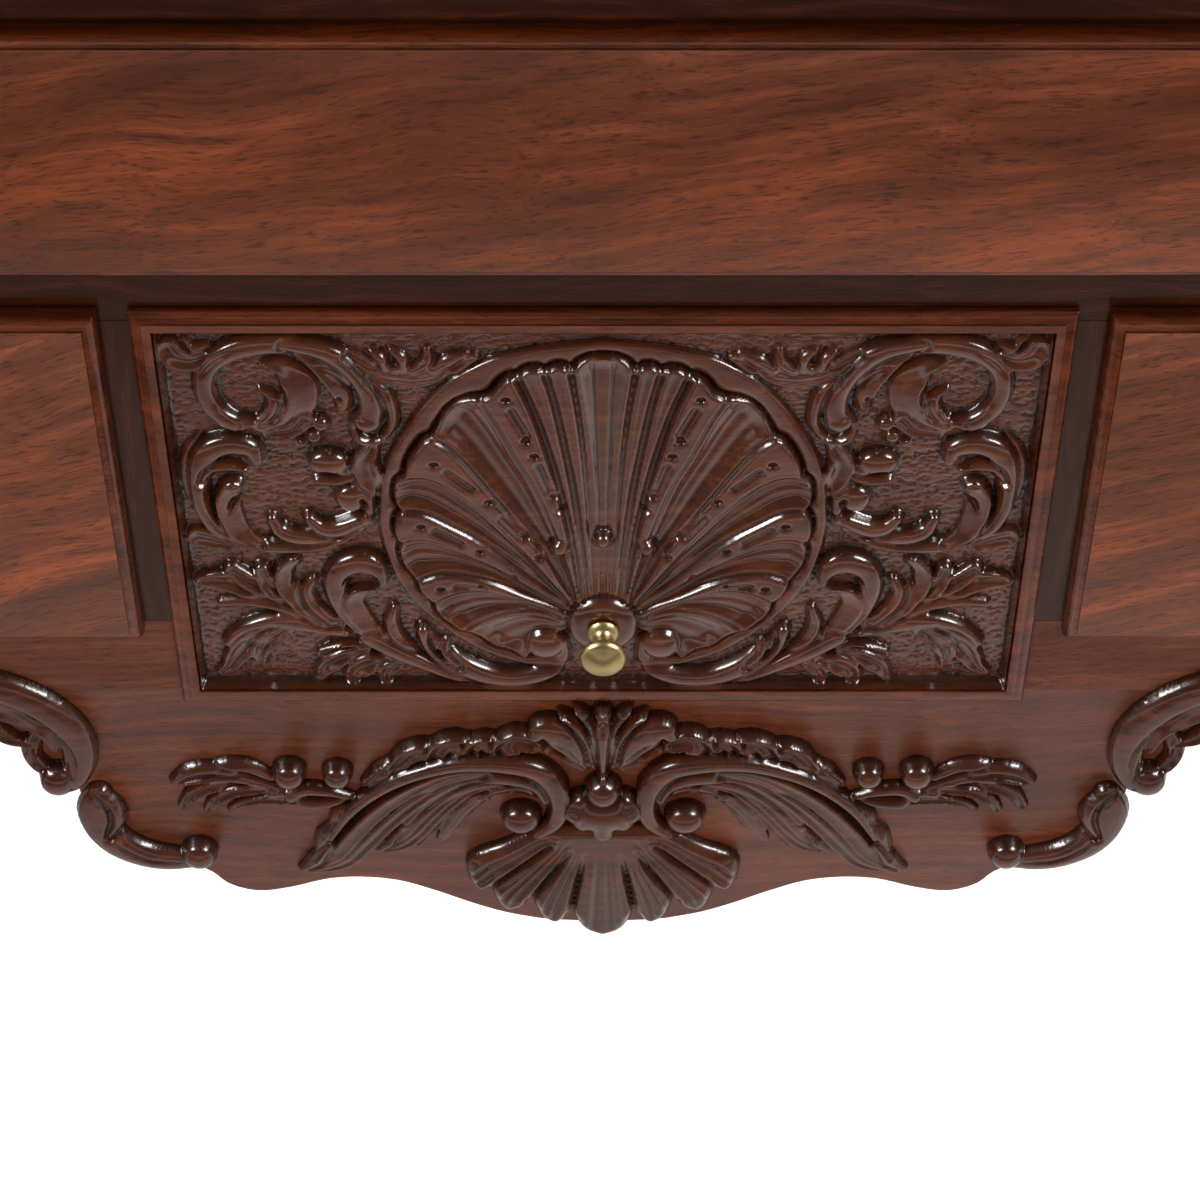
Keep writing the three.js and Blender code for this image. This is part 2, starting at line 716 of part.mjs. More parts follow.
const drawerPlace = { base: carvedY, low: panelLow, module: carvingModule };
const leafRise = drawerLeafHeight / carvingModule;
const stemHeightShares = [0.7, 1, 1, 0.8];
const drawerStemShares = [
  {
    line: [[1.08, 1.6], [1.02, 1.5], [1.09, 1.38], [1.24, 1.32], [1.38, 1.4], [1.41, 1.54], [1.34, 1.65],
      [1.18, 1.68], [1, 1.66], [0.87, 1.57], [0.8, 1.43], [0.84, 1.31], [0.92, 1.3]],
    widths: [0.02, 0.035, 0.045, 0.05, 0.05, 0.05, 0.05, 0.05, 0.05, 0.045, 0.04, 0.035],
  },
  {
    line: [[1.28, 1.3], [1.43, 1.22], [1.455, 1.05], [1.4, 0.87], [1.24, 0.77], [1.06, 0.79], [0.95, 0.9], [0.94, 1.02], [1.01, 1.06]],
    widths: [0.06, 0.05, 0.045, 0.045, 0.045, 0.05, 0.045, 0.04],
  },
  {
    line: [[0.16, 0.27], [0.26, 0.18], [0.42, 0.145], [0.6, 0.16], [0.78, 0.22], [0.94, 0.34], [1.1, 0.48], [1.3, 0.56], [1.48, 0.58]],
    widths: [0.035, 0.045, 0.05, 0.055, 0.055, 0.06, 0.06, 0.06, 0.02],
  },
  { line: [[0.8, 0.22], [0.92, 0.42], [0.95, 0.6], [0.88, 0.62]], widths: [0.04, 0.07, 0.07, 0.05] },
  { line: [[0.98, 0.38], [1.12, 0.55], [1.2, 0.72], [1.24, 0.77]], widths: [0.05, 0.06, 0.05, 0.04] },
  { line: [[0.95, 0.33], [1.2, 0.38], [1.4, 0.35], [1.46, 0.2]], widths: [0.05, 0.065, 0.065, 0.03] },
  { line: [[0.88, 0.26], [1.02, 0.24], [1.12, 0.14]], widths: [0.04, 0.05, 0.025] },
  { line: [[0.74, 0.22], [0.82, 0.16], [0.92, 0.14]], widths: [0.04, 0.05, 0.025] },
];
const drawerEyeShares = [[0.22, 0.215, 0.07, 0.07], [0.98, 1.06, 0.06, 0.055]];
carving('shell_drawer_leafage', (side) => {
  const pieces = drawerStemShares.map(({ line, widths }) => {
    const steps = Math.round(line.length * 1.3);
    const heights = stemHeightShares.map((share) => share * leafRise);
    return stem(mirrored(line, side), widths, heights, drawerPlace, steps);
  });
  const eyes = drawerEyeShares.map(([x, z, wide, tall]) => dome([x * side, z], [wide, tall], leafRise, drawerPlace));
  return [...pieces, ...eyes];
});

// Apron: shell, cartouche, leafage and side scrolls laid on its face

const apronY = frontY - jointGap;
const apronPlace = { base: apronY, low: apronLevel, module: apronModule };
const apronRise = apronLeafHeight / apronModule;
const apronShellShares = [[0.2, 0.8, 0], [0.45, 0.75, 0.2], [0.75, 0.7, 0.3], [0.95, 0.75, 0.25], [1, 0.4, 0]];

function apronShellRelief() {
  const lobes = 7;
  const steps = lobes * 4;
  const hubZ = apronLevel + apronHubShare * apronModule;
  const rows = [];
  for (let i = 0; i <= steps; i += 1) {
    const share = i / steps;
    const angle = -Math.PI / 2 - apronShellSpread + share * 2 * apronShellSpread;
    const bump = Math.sin(share * lobes * Math.PI) ** 2;
    const side = Math.abs(share * 2 - 1);
    const notch = apronShellTaperShare * side + apronScallopShare * (1 - Math.sqrt(bump));
    const reach = (apronShellReachShare - notch) * apronModule;
    rows.push(apronShellShares.map(([r, level, flute]) => [
      reach * r * Math.cos(angle),
      hubZ + reach * r * Math.sin(angle),
      apronShellHeight * (level + flute * (bump - 0.5)),
    ]));
  }
  return rows;
}
add('apron_shell', relief(apronShellRelief(), apronY), carvedMahogany);

function leaf(line, widths, heights, side) {
  const steps = Math.round(line.length * 1.3);
  return stem(mirrored(line, side), widths, heights.map((share) => share * apronRise), apronPlace, steps);
}

const palmetteShares = [
  [[0, -0.5], [0, -0.3], [0, -0.06]],
  [[0.02, -0.48], [0.08, -0.3], [0.12, -0.09]],
  [[0.03, -0.48], [0.14, -0.34], [0.22, -0.2]],
];
const palmetteWidthShares = [0.03, 0.06, 0.045, 0.02];
const palmetteHeightShares = [0.6, 0.8, 1, 0.7];
const palmette = palmetteShares.flatMap((line) => (
  [-1, 1].map((side) => leaf(line, palmetteWidthShares, palmetteHeightShares, side))
));
const cartoucheShares = [[0, -0.57, 0.075, 0.09, 1.2], [0, -0.7, 0.15, 0.075, 1.3]];

function apronDomes(shares, side) {
  return shares.map(([x, z, wide, tall, rise]) => dome([x * side, z], [wide, tall], rise * apronRise, apronPlace));
}

add('apron_cartouche', join([...palmette, ...apronDomes(cartoucheShares, 1)]), carvedMahogany);

const frondShares = [
  {
    line: [[0.33, -0.74], [0.235, -0.62], [0.25, -0.48], [0.4, -0.36], [0.6, -0.345], [0.8, -0.42], [1, -0.6], [1.12, -0.8], [1.2, -0.98]],
    widths: [0.05, 0.055, 0.06, 0.075, 0.08, 0.08, 0.075, 0.06, 0.02],
  },
  { line: [[0.5, -0.4], [0.7, -0.5], [0.85, -0.7], [0.92, -0.9]], widths: [0.06, 0.07, 0.06, 0.02] },
  { line: [[0.45, -0.42], [0.6, -0.56], [0.7, -0.74]], widths: [0.05, 0.05, 0.015] },
  {
    line: [[0.85, -0.44], [1.05, -0.56], [1.3, -0.6], [1.52, -0.54], [1.7, -0.46]],
    widths: [0.05, 0.055, 0.06, 0.07, 0.03],
  },
  { line: [[1.4, -0.56], [1.52, -0.44], [1.62, -0.39]], widths: [0.05, 0.06, 0.03] },
  { line: [[0.36, -0.36], [0.44, -0.29], [0.5, -0.27]], widths: [0.05, 0.05, 0.03] },
  { line: [[0.56, -0.34], [0.62, -0.27], [0.7, -0.26]], widths: [0.05, 0.05, 0.03] },
  { line: [[0.74, -0.38], [0.8, -0.3], [0.86, -0.32]], widths: [0.05, 0.05, 0.03] },
];
const frondHeightShares = [0.7, 1, 1, 0.8, 0.5];
const berryShares = [[0.33, -0.71, 0.075, 0.08, 1.3], [1.08, -0.49, 0.06, 0.07, 1.2], [1.27, -0.49, 0.055, 0.065, 1.1]];
carving('apron_leafage', (side) => [
  ...frondShares.map(({ line, widths }) => leaf(line, widths, frondHeightShares, side)),
  ...apronDomes(berryShares, side),
]);

const scrollShares = [
  {
    line: [[1.68, -0.95], [1.8, -0.98], [1.93, -0.97], [2.03, -0.88], [2.08, -0.76], [2.06, -0.62], [2.08, -0.5]],
    widths: [0.05, 0.05, 0.06, 0.06, 0.06, 0.055, 0.05],
  },
  {
    line: [[2.24, -0.46], [2.16, -0.54], [2.06, -0.46], [2.05, -0.3], [2.15, -0.12], [2.34, 0.0], [2.62, 0.07], [2.95, 0.075],
      [3.22, -0.02], [3.44, -0.22]],
    widths: [0.05, 0.06, 0.055, 0.06, 0.08, 0.1, 0.09, 0.08, 0.07, 0.04],
  },
  { line: [[2.2, -0.2], [2.24, -0.32], [2.2, -0.4]], widths: [0.05, 0.05, 0.02] },
  { line: [[2.35, -0.04], [2.36, -0.16], [2.3, -0.24]], widths: [0.06, 0.05, 0.02] },
];
const scrollHeightShares = [0.9, 1, 1, 1, 0.8];
const scrollEyeShares = [[1.68, -0.93, 0.085, 0.09, 1.35], [2.24, -0.47, 0.08, 0.085, 1.3]];
carving('apron_scroll', (side) => [
  ...scrollShares.map(({ line, widths }) => leaf(line, widths, scrollHeightShares, side)),
  ...apronDomes(scrollEyeShares, side),
]);

// Brass: the shell drawer's knob, and a bail pull on each of the plain drawers

const knobProfileShares = [
  [0, 0], [0.7, 0], [0.72, 0.06], [0.45, 0.16], [0.36, 0.36], [0.48, 0.52], [0.9, 0.62], [1, 0.72], [0.92, 0.84], [0.55, 0.96], [0, 1],
];
const knobPoints = knobProfileShares.map(([radiusShare, lengthShare]) => (
  new THREE.Vector2(radiusShare * knobRadius, lengthShare * knobLength)
));
const knob = new THREE.LatheGeometry(knobPoints, 16);
knob.rotateX(Math.PI);
knob.translate(0, carvedY - bossHeight - jointGap, bossZ);
add('shell_drawer_knob', knob, brass);

const plateShares = [
  [0, 0.5], [0.12, 0.42], [0.26, 0.44], [0.34, 0.34], [0.5, 0.3], [0.68, 0.36], [0.84, 0.26], [1, 0.2], [0.94, 0.02],
  [1, -0.14], [0.8, -0.18], [0.66, -0.34], [0.44, -0.36], [0.3, -0.5], [0.12, -0.5], [0, -0.62],
];

const pullAxisY = faceY - pullReach + pinHole + pinWall;
function pullPlate(x, z) {
  const half = plateShares.map(([across, up]) => [across * plateHalf, up * plateHeight]);
  const outline = [...half, ...mirrored(half.slice(1, -1), -1).reverse()].reverse();
  const plate = boardAcross(outline, -plateThickness, 0);
  plate.translate(x, faceY - jointGap, z);
  const pieces = [plate];
  const postEnd = faceY - pullReach;
  for (const side of [-1, 1]) {
    const length = faceY - jointGap - postEnd;
    const post = new THREE.CylinderGeometry(pullPostRadius, pullPostRadius, length, 8);
    post.translate(x + side * pullSpan / 2, faceY - jointGap - length / 2, z + pullAxisRise);
    pieces.push(post);
  }
  const bore = new THREE.CylinderGeometry(pinHole, pinHole, pullSpan * 2, 8);
  bore.rotateZ(Math.PI / 2);
  bore.translate(x, pullAxisY, z + pullAxisRise);
  return geometryOf(pieces.map(solid).reduce((whole, next) => whole.add(next)).subtract(solid(bore)));
}

const bailReach = pullSpan / 2 + pullPostRadius;
const bailShares = [
  [0.84, 0], [1, 0], [1.06, 0], [1.12, -0.12], [1.1, -0.38], [0.94, -0.64], [0.7, -0.81], [0.36, -0.92], [0, -0.96],
];
function bail(x, z) {
  const half = bailShares.map(([across, down]) => [across * bailReach, down * bailDrop]);
  const line = [...half, ...mirrored(half.slice(0, -1), -1).reverse()];
  const curve = new THREE.CatmullRomCurve3(line.map(([a, b]) => new THREE.Vector3(a, 0, b)), false, 'centripetal');
  const section = new THREE.Shape();
  section.absarc(0, 0, bailRadius, 0, 2 * Math.PI);
  const tube = new THREE.ExtrudeGeometry(section, { extrudePath: curve, steps: 18, curveSegments: 3 });
  tube.translate(x, pullAxisY, z + pullAxisRise);
  return tube;
}

const longPullX = sideCentre;
const pullPlaces = [
  ['long_left', -longPullX, (longTop + longBottom) / 2],
  ['long_right', longPullX, (longTop + longBottom) / 2],
  ['left', -sideCentre, (lowerTop + sideBottom) / 2],
  ['right', sideCentre, (lowerTop + sideBottom) / 2],
];
for (const [name, x, z] of pullPlaces) {
  add(`${name}_pull_plate`, pullPlate(x, z), brass);
  add(`${name}_pull_bail`, bail(x, z), brass);
}
export default lowboy;
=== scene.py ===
# %% [markdown]
# # A carved mahogany lowboy
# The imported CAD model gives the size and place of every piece. This file dresses it:
# finely carved panels, lipped drawer fronts, turned and cast brass, and the finish of each wood.

# %% Load the frame
import json
import math
import bpy
import numpy as np
from mathutils import Vector
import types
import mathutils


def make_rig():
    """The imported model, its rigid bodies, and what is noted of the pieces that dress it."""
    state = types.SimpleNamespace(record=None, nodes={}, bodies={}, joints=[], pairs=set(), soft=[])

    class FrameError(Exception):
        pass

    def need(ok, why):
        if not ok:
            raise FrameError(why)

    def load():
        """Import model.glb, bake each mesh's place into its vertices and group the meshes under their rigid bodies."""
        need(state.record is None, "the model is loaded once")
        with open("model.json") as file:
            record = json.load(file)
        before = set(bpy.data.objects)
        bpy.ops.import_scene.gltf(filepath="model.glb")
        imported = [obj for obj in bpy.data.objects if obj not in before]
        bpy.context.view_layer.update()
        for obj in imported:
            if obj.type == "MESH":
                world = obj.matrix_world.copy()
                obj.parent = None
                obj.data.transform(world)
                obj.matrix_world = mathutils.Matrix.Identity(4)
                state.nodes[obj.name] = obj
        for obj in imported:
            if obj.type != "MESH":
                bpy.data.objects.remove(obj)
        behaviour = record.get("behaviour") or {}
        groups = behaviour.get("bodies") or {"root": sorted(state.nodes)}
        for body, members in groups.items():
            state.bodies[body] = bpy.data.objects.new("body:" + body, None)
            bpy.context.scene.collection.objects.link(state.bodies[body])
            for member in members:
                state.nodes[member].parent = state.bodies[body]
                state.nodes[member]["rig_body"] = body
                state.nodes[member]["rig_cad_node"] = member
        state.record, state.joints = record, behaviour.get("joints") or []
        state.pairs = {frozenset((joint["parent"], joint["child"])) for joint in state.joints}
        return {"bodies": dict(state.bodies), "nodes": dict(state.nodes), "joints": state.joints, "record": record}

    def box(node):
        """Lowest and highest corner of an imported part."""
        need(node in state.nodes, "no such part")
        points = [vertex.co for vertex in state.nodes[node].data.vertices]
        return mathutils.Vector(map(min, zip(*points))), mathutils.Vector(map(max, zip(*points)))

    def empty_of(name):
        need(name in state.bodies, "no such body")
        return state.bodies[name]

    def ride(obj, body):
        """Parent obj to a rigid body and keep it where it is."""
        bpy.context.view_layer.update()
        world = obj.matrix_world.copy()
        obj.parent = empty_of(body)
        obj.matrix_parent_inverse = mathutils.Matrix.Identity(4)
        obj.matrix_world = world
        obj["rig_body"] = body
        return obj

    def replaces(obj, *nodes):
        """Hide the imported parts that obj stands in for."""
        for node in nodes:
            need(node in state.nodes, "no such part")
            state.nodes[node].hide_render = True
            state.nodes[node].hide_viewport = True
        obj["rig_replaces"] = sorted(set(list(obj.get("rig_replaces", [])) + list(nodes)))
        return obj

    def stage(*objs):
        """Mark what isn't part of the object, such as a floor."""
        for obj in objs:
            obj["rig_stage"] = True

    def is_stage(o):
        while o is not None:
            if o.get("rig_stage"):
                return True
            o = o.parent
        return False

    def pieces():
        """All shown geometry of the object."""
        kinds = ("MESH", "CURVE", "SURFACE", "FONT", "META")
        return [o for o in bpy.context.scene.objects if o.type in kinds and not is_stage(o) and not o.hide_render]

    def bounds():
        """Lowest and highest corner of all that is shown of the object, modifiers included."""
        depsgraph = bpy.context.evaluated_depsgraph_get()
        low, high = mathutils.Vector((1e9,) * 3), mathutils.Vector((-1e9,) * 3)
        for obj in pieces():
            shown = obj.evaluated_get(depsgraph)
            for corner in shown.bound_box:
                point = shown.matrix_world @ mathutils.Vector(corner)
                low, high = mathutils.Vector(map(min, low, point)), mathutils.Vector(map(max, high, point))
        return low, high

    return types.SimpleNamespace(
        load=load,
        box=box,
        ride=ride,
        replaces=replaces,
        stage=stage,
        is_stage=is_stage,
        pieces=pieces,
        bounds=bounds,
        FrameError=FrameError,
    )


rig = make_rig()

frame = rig.load()
cad_box = [list(corner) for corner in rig.bounds()]
MM = 0.001
print("CAD box", cad_box)

# %% [markdown]
# ## Camera
# The photograph is a close view of the front, taken a metre away from above the top board.
# Its perspective was worked out from the drawers' edges, which gives the height, the pitch and the lens.

# %% Camera
CAMERA_PLACE = (-0.0012, -1.008, 1.1933)
CAMERA_PITCH = 43
LENS = 82.68

bpy.ops.object.camera_add(location=CAMERA_PLACE, rotation=(math.radians(90 - CAMERA_PITCH), 0, 0))
camera = bpy.context.object
camera.data.lens = LENS
camera.data.sensor_width = 36
bpy.context.scene.camera = camera
print("camera at", CAMERA_PLACE, "pitched", CAMERA_PITCH, "degrees down")

# %% [markdown]
# ## Studio
# The room is dark overhead and white at floor level. Polished fronts mirror the floor before the legs as a
# milky sheen, which fades towards the top and is stronger at the right, while mouldings that face up mirror
# the dark and stay deep brown. The fills are wide and aren't mirrored: from each side they bring a colour to
# about the value that is written for it. Two soft boxes high at the sides do the opposite. They are only
# mirrored, and give each carved ball its pair of small highlights.

# %% Small helpers for nodes and colours
def linear(hex_value):
    channels = [int(hex_value[i:i + 2], 16) / 255 for i in (1, 3, 5)]
    return tuple(c / 12.92 if c <= 0.04045 else ((c + 0.055) / 1.055) ** 2.4 for c in channels) + (1,)


def add_node(tree, kind, settings=None, links=None):
    node = tree.nodes.new(kind)
    for key, value in (settings or {}).items():
        if isinstance(key, int) or key in node.inputs:
            node.inputs[key].default_value = value
        else:
            setattr(node, key, value)
    for key, source in (links or {}).items():
        tree.links.new(source, node.inputs[key])
    return node


# %% Room and floor
ROOM_GREY, OVERHEAD_GREY = 0.10, 0.05
HORIZON = 0.16
FLOOR_SIZE = 12
# The floor as the camera sees it: its own glow near the case, and the distances over which it rises to white.
FLOOR_GLOW = 0.6
GLOW_FROM, GLOW_TO = 0.9, 2.6
# The floor as polished wood mirrors it: from where to where it brightens, how much, and how it leans to the right.
SHEEN_FROM, SHEEN_TO = -1.2, -0.5
SHEEN_NEAR, SHEEN_EASE = 0.66, 0.65
SHEEN_TO_RIGHT, LEAN_SPAN = 0.5, 0.8

scene = bpy.context.scene
scene.view_settings.view_transform = "Standard"
world = bpy.data.worlds.new("studio")
world.use_nodes = True
scene.world = world
sky = world.node_tree
sky.nodes.clear()
sky_rays = add_node(sky, "ShaderNodeLightPath")
heading = add_node(sky, "ShaderNodeTexCoord").outputs["Generated"]
height = add_node(sky, "ShaderNodeSeparateXYZ", links={"Vector": heading}).outputs["Z"]
low_band = add_node(sky, "ShaderNodeMapRange", {"From Min": HORIZON, "From Max": 0.0, "To Min": OVERHEAD_GREY},
                    {"Value": height}).outputs[0]
mirrored = add_node(sky, "ShaderNodeMath", {"operation": "MAXIMUM"},
                    {0: sky_rays.outputs["Is Glossy Ray"], 1: sky_rays.outputs["Is Transmission Ray"]})
strength = add_node(sky, "ShaderNodeMix", {"data_type": "FLOAT", "A": ROOM_GREY},
                    {"Factor": mirrored.outputs[0], "B": low_band}).outputs[0]
shown = add_node(sky, "ShaderNodeMath", {"operation": "MAXIMUM"}, {0: strength, 1: sky_rays.outputs["Is Camera Ray"]})
around = add_node(sky, "ShaderNodeBackground", {"Color": (1, 1, 1, 1)}, {"Strength": shown.outputs[0]})
add_node(sky, "ShaderNodeOutputWorld", links={"Surface": around.outputs[0]})

bpy.ops.mesh.primitive_plane_add(size=FLOOR_SIZE)
floor = bpy.context.object
floor.name = "studio_floor"
paper = bpy.data.materials.new("white_paper")
paper.use_nodes = True
tree = paper.node_tree
tree.nodes.clear()
rays = add_node(tree, "ShaderNodeLightPath")
spot = add_node(tree, "ShaderNodeTexCoord").outputs["Object"]
apart = add_node(tree, "ShaderNodeSeparateXYZ", links={"Vector": spot})
ahead, rightward = apart.outputs["Y"], apart.outputs["X"]
nearness = add_node(tree, "ShaderNodeMapRange", {"From Min": SHEEN_FROM, "From Max": SHEEN_TO},
                    {"Value": ahead}).outputs[0]
eased = add_node(tree, "ShaderNodeMath", {"operation": "POWER", 1: SHEEN_EASE}, {0: nearness}).outputs[0]
lean = LEAN_SPAN * SHEEN_TO_RIGHT
leaning = add_node(tree, "ShaderNodeMapRange",
                   {"From Min": -LEAN_SPAN, "From Max": LEAN_SPAN, "To Min": 1 - lean, "To Max": 1 + lean},
                   {"Value": rightward}).outputs[0]
evened = add_node(tree, "ShaderNodeMath", {"operation": "MULTIPLY", 1: SHEEN_NEAR}, {0: eased}).outputs[0]
sheen = add_node(tree, "ShaderNodeMath", {"operation": "MULTIPLY"}, {0: evened, 1: leaning}).outputs[0]
away = add_node(tree, "ShaderNodeVectorMath", {"operation": "LENGTH"}, {0: spot}).outputs["Value"]
far_glow = add_node(tree, "ShaderNodeMapRange", {"From Min": GLOW_FROM, "From Max": GLOW_TO, "To Min": FLOOR_GLOW},
                    {"Value": away}).outputs[0]
for_eye = add_node(tree, "ShaderNodeMath", {"operation": "MULTIPLY"}, {0: rays.outputs["Is Camera Ray"], 1: far_glow})
for_gloss = add_node(tree, "ShaderNodeMath", {"operation": "MULTIPLY"}, {0: rays.outputs["Is Glossy Ray"], 1: sheen})
glow = add_node(tree, "ShaderNodeMath", {"operation": "ADD"}, {0: for_eye.outputs[0], 1: for_gloss.outputs[0]})
shine = add_node(tree, "ShaderNodeEmission", {"Color": (1, 1, 1, 1)}, {"Strength": glow.outputs[0]})
matte = add_node(tree, "ShaderNodeBsdfDiffuse", {"Color": linear("#e6e6e6")})
unlit = add_node(tree, "ShaderNodeBsdfDiffuse", {"Color": linear("#303030")})
lift = add_node(tree, "ShaderNodeMixShader", links={0: rays.outputs["Is Glossy Ray"], 1: matte.outputs[0],
                                                    2: unlit.outputs[0]})
both = add_node(tree, "ShaderNodeAddShader", links={0: lift.outputs[0], 1: shine.outputs[0]})
add_node(tree, "ShaderNodeOutputMaterial", links={"Surface": both.outputs[0]})
floor.data.materials.append(paper)
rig.stage(floor)


# %% Lamps
def soft_box(name, place, target, size, power, mirrored=False, spread=True):
    bpy.ops.object.light_add(type="AREA", location=place)
    lamp = bpy.context.object
    lamp.name = name
    lamp.data.shape = "RECTANGLE"
    lamp.data.size, lamp.data.size_y = size
    lamp.data.energy = power
    lamp.rotation_euler = (Vector(target) - Vector(place)).to_track_quat("-Z", "Y").to_euler()
    lamp.visible_glossy = mirrored
    lamp.visible_diffuse = spread
    return lamp


# Each row: name, place, what it is aimed at, size in metres and power in watts.
CASE_MIDDLE = (0, -0.2, 0.5)
FILLS = [
    ("fill_above", (0, -1.9, 2.0), CASE_MIDDLE, (1.8, 1.0), 21),
    ("fill_front", (0, -1.8, 0.2), CASE_MIDDLE, (2.4, 0.4), 21),
    ("fill_behind", (0, 2.4, 1.6), CASE_MIDDLE, (1.6, 1.2), 24),
    ("fill_left", (-2.1, 0.2, 0.9), (0, 0.2, 0.5), (0.6, 1.2), 24),
    ("fill_right", (2.1, 0.2, 0.9), (0, 0.2, 0.5), (0.6, 1.2), 24),
    ("fill_top", (0, 0.15, 1.9), (0, 0.15, 0.5), (0.9, 0.5), 9),
]
for row in FILLS:
    soft_box(*row)
for name, side in (("soft_box_left", -1), ("soft_box_right", 1)):
    soft_box(name, (side * 1.15, -0.46, 1.55), CASE_MIDDLE, (0.5, 0.6), 25, mirrored=True, spread=False)
print("lamps", [o.name for o in scene.objects if o.type == "LIGHT"])

# %% [markdown]
# ## Mahogany
# Mahogany is a red-brown wood with short dark pores along the grain and ribbons of lighter and darker
# figure across it. Here it is stained and lacquered, so a thin glossy coat lies over a duller colour.
# The grain is noise that is stretched along the board, the pores a finer noise cut to dark dashes.

# %% Wood material
# One unit of each noise, in millimetres along and across the grain.
GRAIN_LENGTH = 120
GRAIN_WIDTH = 4.5
RIBBON_LENGTH = 210
RIBBON_WIDTH = 30
PORE_LENGTH = 7
PORE_WIDTH = 0.75
TURNS = {"x": (0, 0, 0), "y": (0, 0, 90), "z": (0, 90, 0)}
TONE_STOPS = (0.38, 0.5, 0.62)
# The second brown darkens the carving's hollows: dark glaze and painted shade together.
PORE_BROWN, GLAZE_AND_SHADE_BROWN = "#240d06", "#0d0503"


def along_grain(tree, place, turn, length, width):
    """Turns a pattern to the grain and stretches it, so that one unit of noise is length by width millimetres."""
    turned = add_node(tree, "ShaderNodeMapping", {"Rotation": [math.radians(a) for a in turn]},
                      {"Vector": place}).outputs[0]
    scale = (1 / (length * MM), 1 / (width * MM), 1 / (width * MM))
    return add_node(tree, "ShaderNodeMapping", {"Scale": scale}, {"Vector": turned}).outputs[0]


def wood(name, colours, grain="x", slant=(0, 0), figure=0.3, roughness=0.36, coat=0.0, pores=0.5, glazed_and_shaded=False):
    """Colours are dark, middle and light; slant is the turn of the grain and of the ribbons, in degrees."""
    material = bpy.data.materials.new(name)
    material.use_nodes = True
    tree = material.node_tree
    tree.nodes.clear()
    place = add_node(tree, "ShaderNodeTexCoord").outputs["Object"]
    wander = add_node(tree, "ShaderNodeTexNoise", {"Scale": 7.0, "Detail": 2.0}, {"Vector": place})
    bent = add_node(tree, "ShaderNodeMixRGB", {"blend_type": "LINEAR_LIGHT", "Fac": 0.016},
                    {"Color1": place, "Color2": wander.outputs["Color"]}).outputs[0]
    x_turn, y_turn, z_turn = TURNS[grain]
    grain_place = along_grain(tree, bent, (x_turn, y_turn + slant[0], z_turn), GRAIN_LENGTH, GRAIN_WIDTH)
    ribbon_place = along_grain(tree, bent, (x_turn, y_turn + slant[1], z_turn), RIBBON_LENGTH, RIBBON_WIDTH)
    pore_place = along_grain(tree, bent, (x_turn, y_turn + slant[0], z_turn), PORE_LENGTH, PORE_WIDTH)
    streaks = add_node(tree, "ShaderNodeTexNoise", {"Scale": 1.0, "Detail": 7.0, "Roughness": 0.68},
                       {"Vector": grain_place})
    ribbon = add_node(tree, "ShaderNodeTexNoise", {"Scale": 1.0, "Detail": 4.0, "Roughness": 0.55, "Distortion": 0.5},
                      {"Vector": ribbon_place})
    tone = add_node(tree, "ShaderNodeMix", {"data_type": "FLOAT", "Factor": figure},
                    {"A": streaks.outputs["Fac"], "B": ribbon.outputs["Fac"]})
    ramp = add_node(tree, "ShaderNodeValToRGB", links={"Fac": tone.outputs[0]})
    for spot, (position, colour) in enumerate(zip(TONE_STOPS, colours)):
        stop = ramp.color_ramp.elements[spot] if spot < 2 else ramp.color_ramp.elements.new(position)
        stop.position, stop.color = position, linear(colour)
    pore_noise = add_node(tree, "ShaderNodeTexNoise", {"Scale": 1.0, "Detail": 1.0}, {"Vector": pore_place})
    pore = add_node(tree, "ShaderNodeMapRange", {"From Min": 0.55, "From Max": 0.68, "To Max": pores},
                    {"Value": pore_noise.outputs["Fac"]})
    stain_and_shade = add_node(tree, "ShaderNodeMixRGB", {"Color2": linear(PORE_BROWN)},
                       {"Fac": pore.outputs[0], "Color1": ramp.outputs[0]})
    # Where the carving lies low its colour is darkened: dark glaze and painted shade.
    if glazed_and_shaded:
        hollow = add_node(tree, "ShaderNodeAttribute", {"attribute_name": "glaze_and_shade"})
        stain_and_shade = add_node(tree, "ShaderNodeMixRGB", {"Color2": linear(GLAZE_AND_SHADE_BROWN)},
                           {"Fac": hollow.outputs["Fac"], "Color1": stain_and_shade.outputs[0]})
    dull = add_node(tree, "ShaderNodeMapRange", {"To Min": roughness - 0.06, "To Max": roughness + 0.08},
                    {"Value": streaks.outputs["Fac"]})
    bump = add_node(tree, "ShaderNodeBump", {"Strength": 0.1, "Distance": 0.0004, "invert": True},
                    {"Height": pore.outputs[0]})
    shader = add_node(tree, "ShaderNodeBsdfPrincipled", {"IOR": 1.5, "Coat Weight": coat, "Coat Roughness": 0.12},
                      {"Base Color": stain_and_shade.outputs[0], "Roughness": dull.outputs[0], "Normal": bump.outputs[0]})
    add_node(tree, "ShaderNodeOutputMaterial", links={"Surface": shader.outputs[0]})
    return material


CASE_BROWN = ("#431f0f", "#542714", "#66321b")
FRONT_BROWN = ("#4a2412", "#652f14", "#88401b")
# The third brown is painted shade: the case brown darkened for rails and stiles that lie back between the fronts.
PAINTED_SHADE_RAIL_BROWN = ("#240e05", "#2e1206", "#3b1909")
LONG_FRONT_BROWN = ("#451b06", "#5d2707", "#7c360b")
# Stained and lacquered mahogany, sawn so that the grain runs along the rail.
rail_mahogany = wood("lacquered_mahogany_rail", CASE_BROWN, "x", figure=0.25)
# The same wood with its grain upright, for stiles, posts and side boards.
upright_mahogany = wood("lacquered_mahogany_upright", CASE_BROWN, "z", figure=0.25)
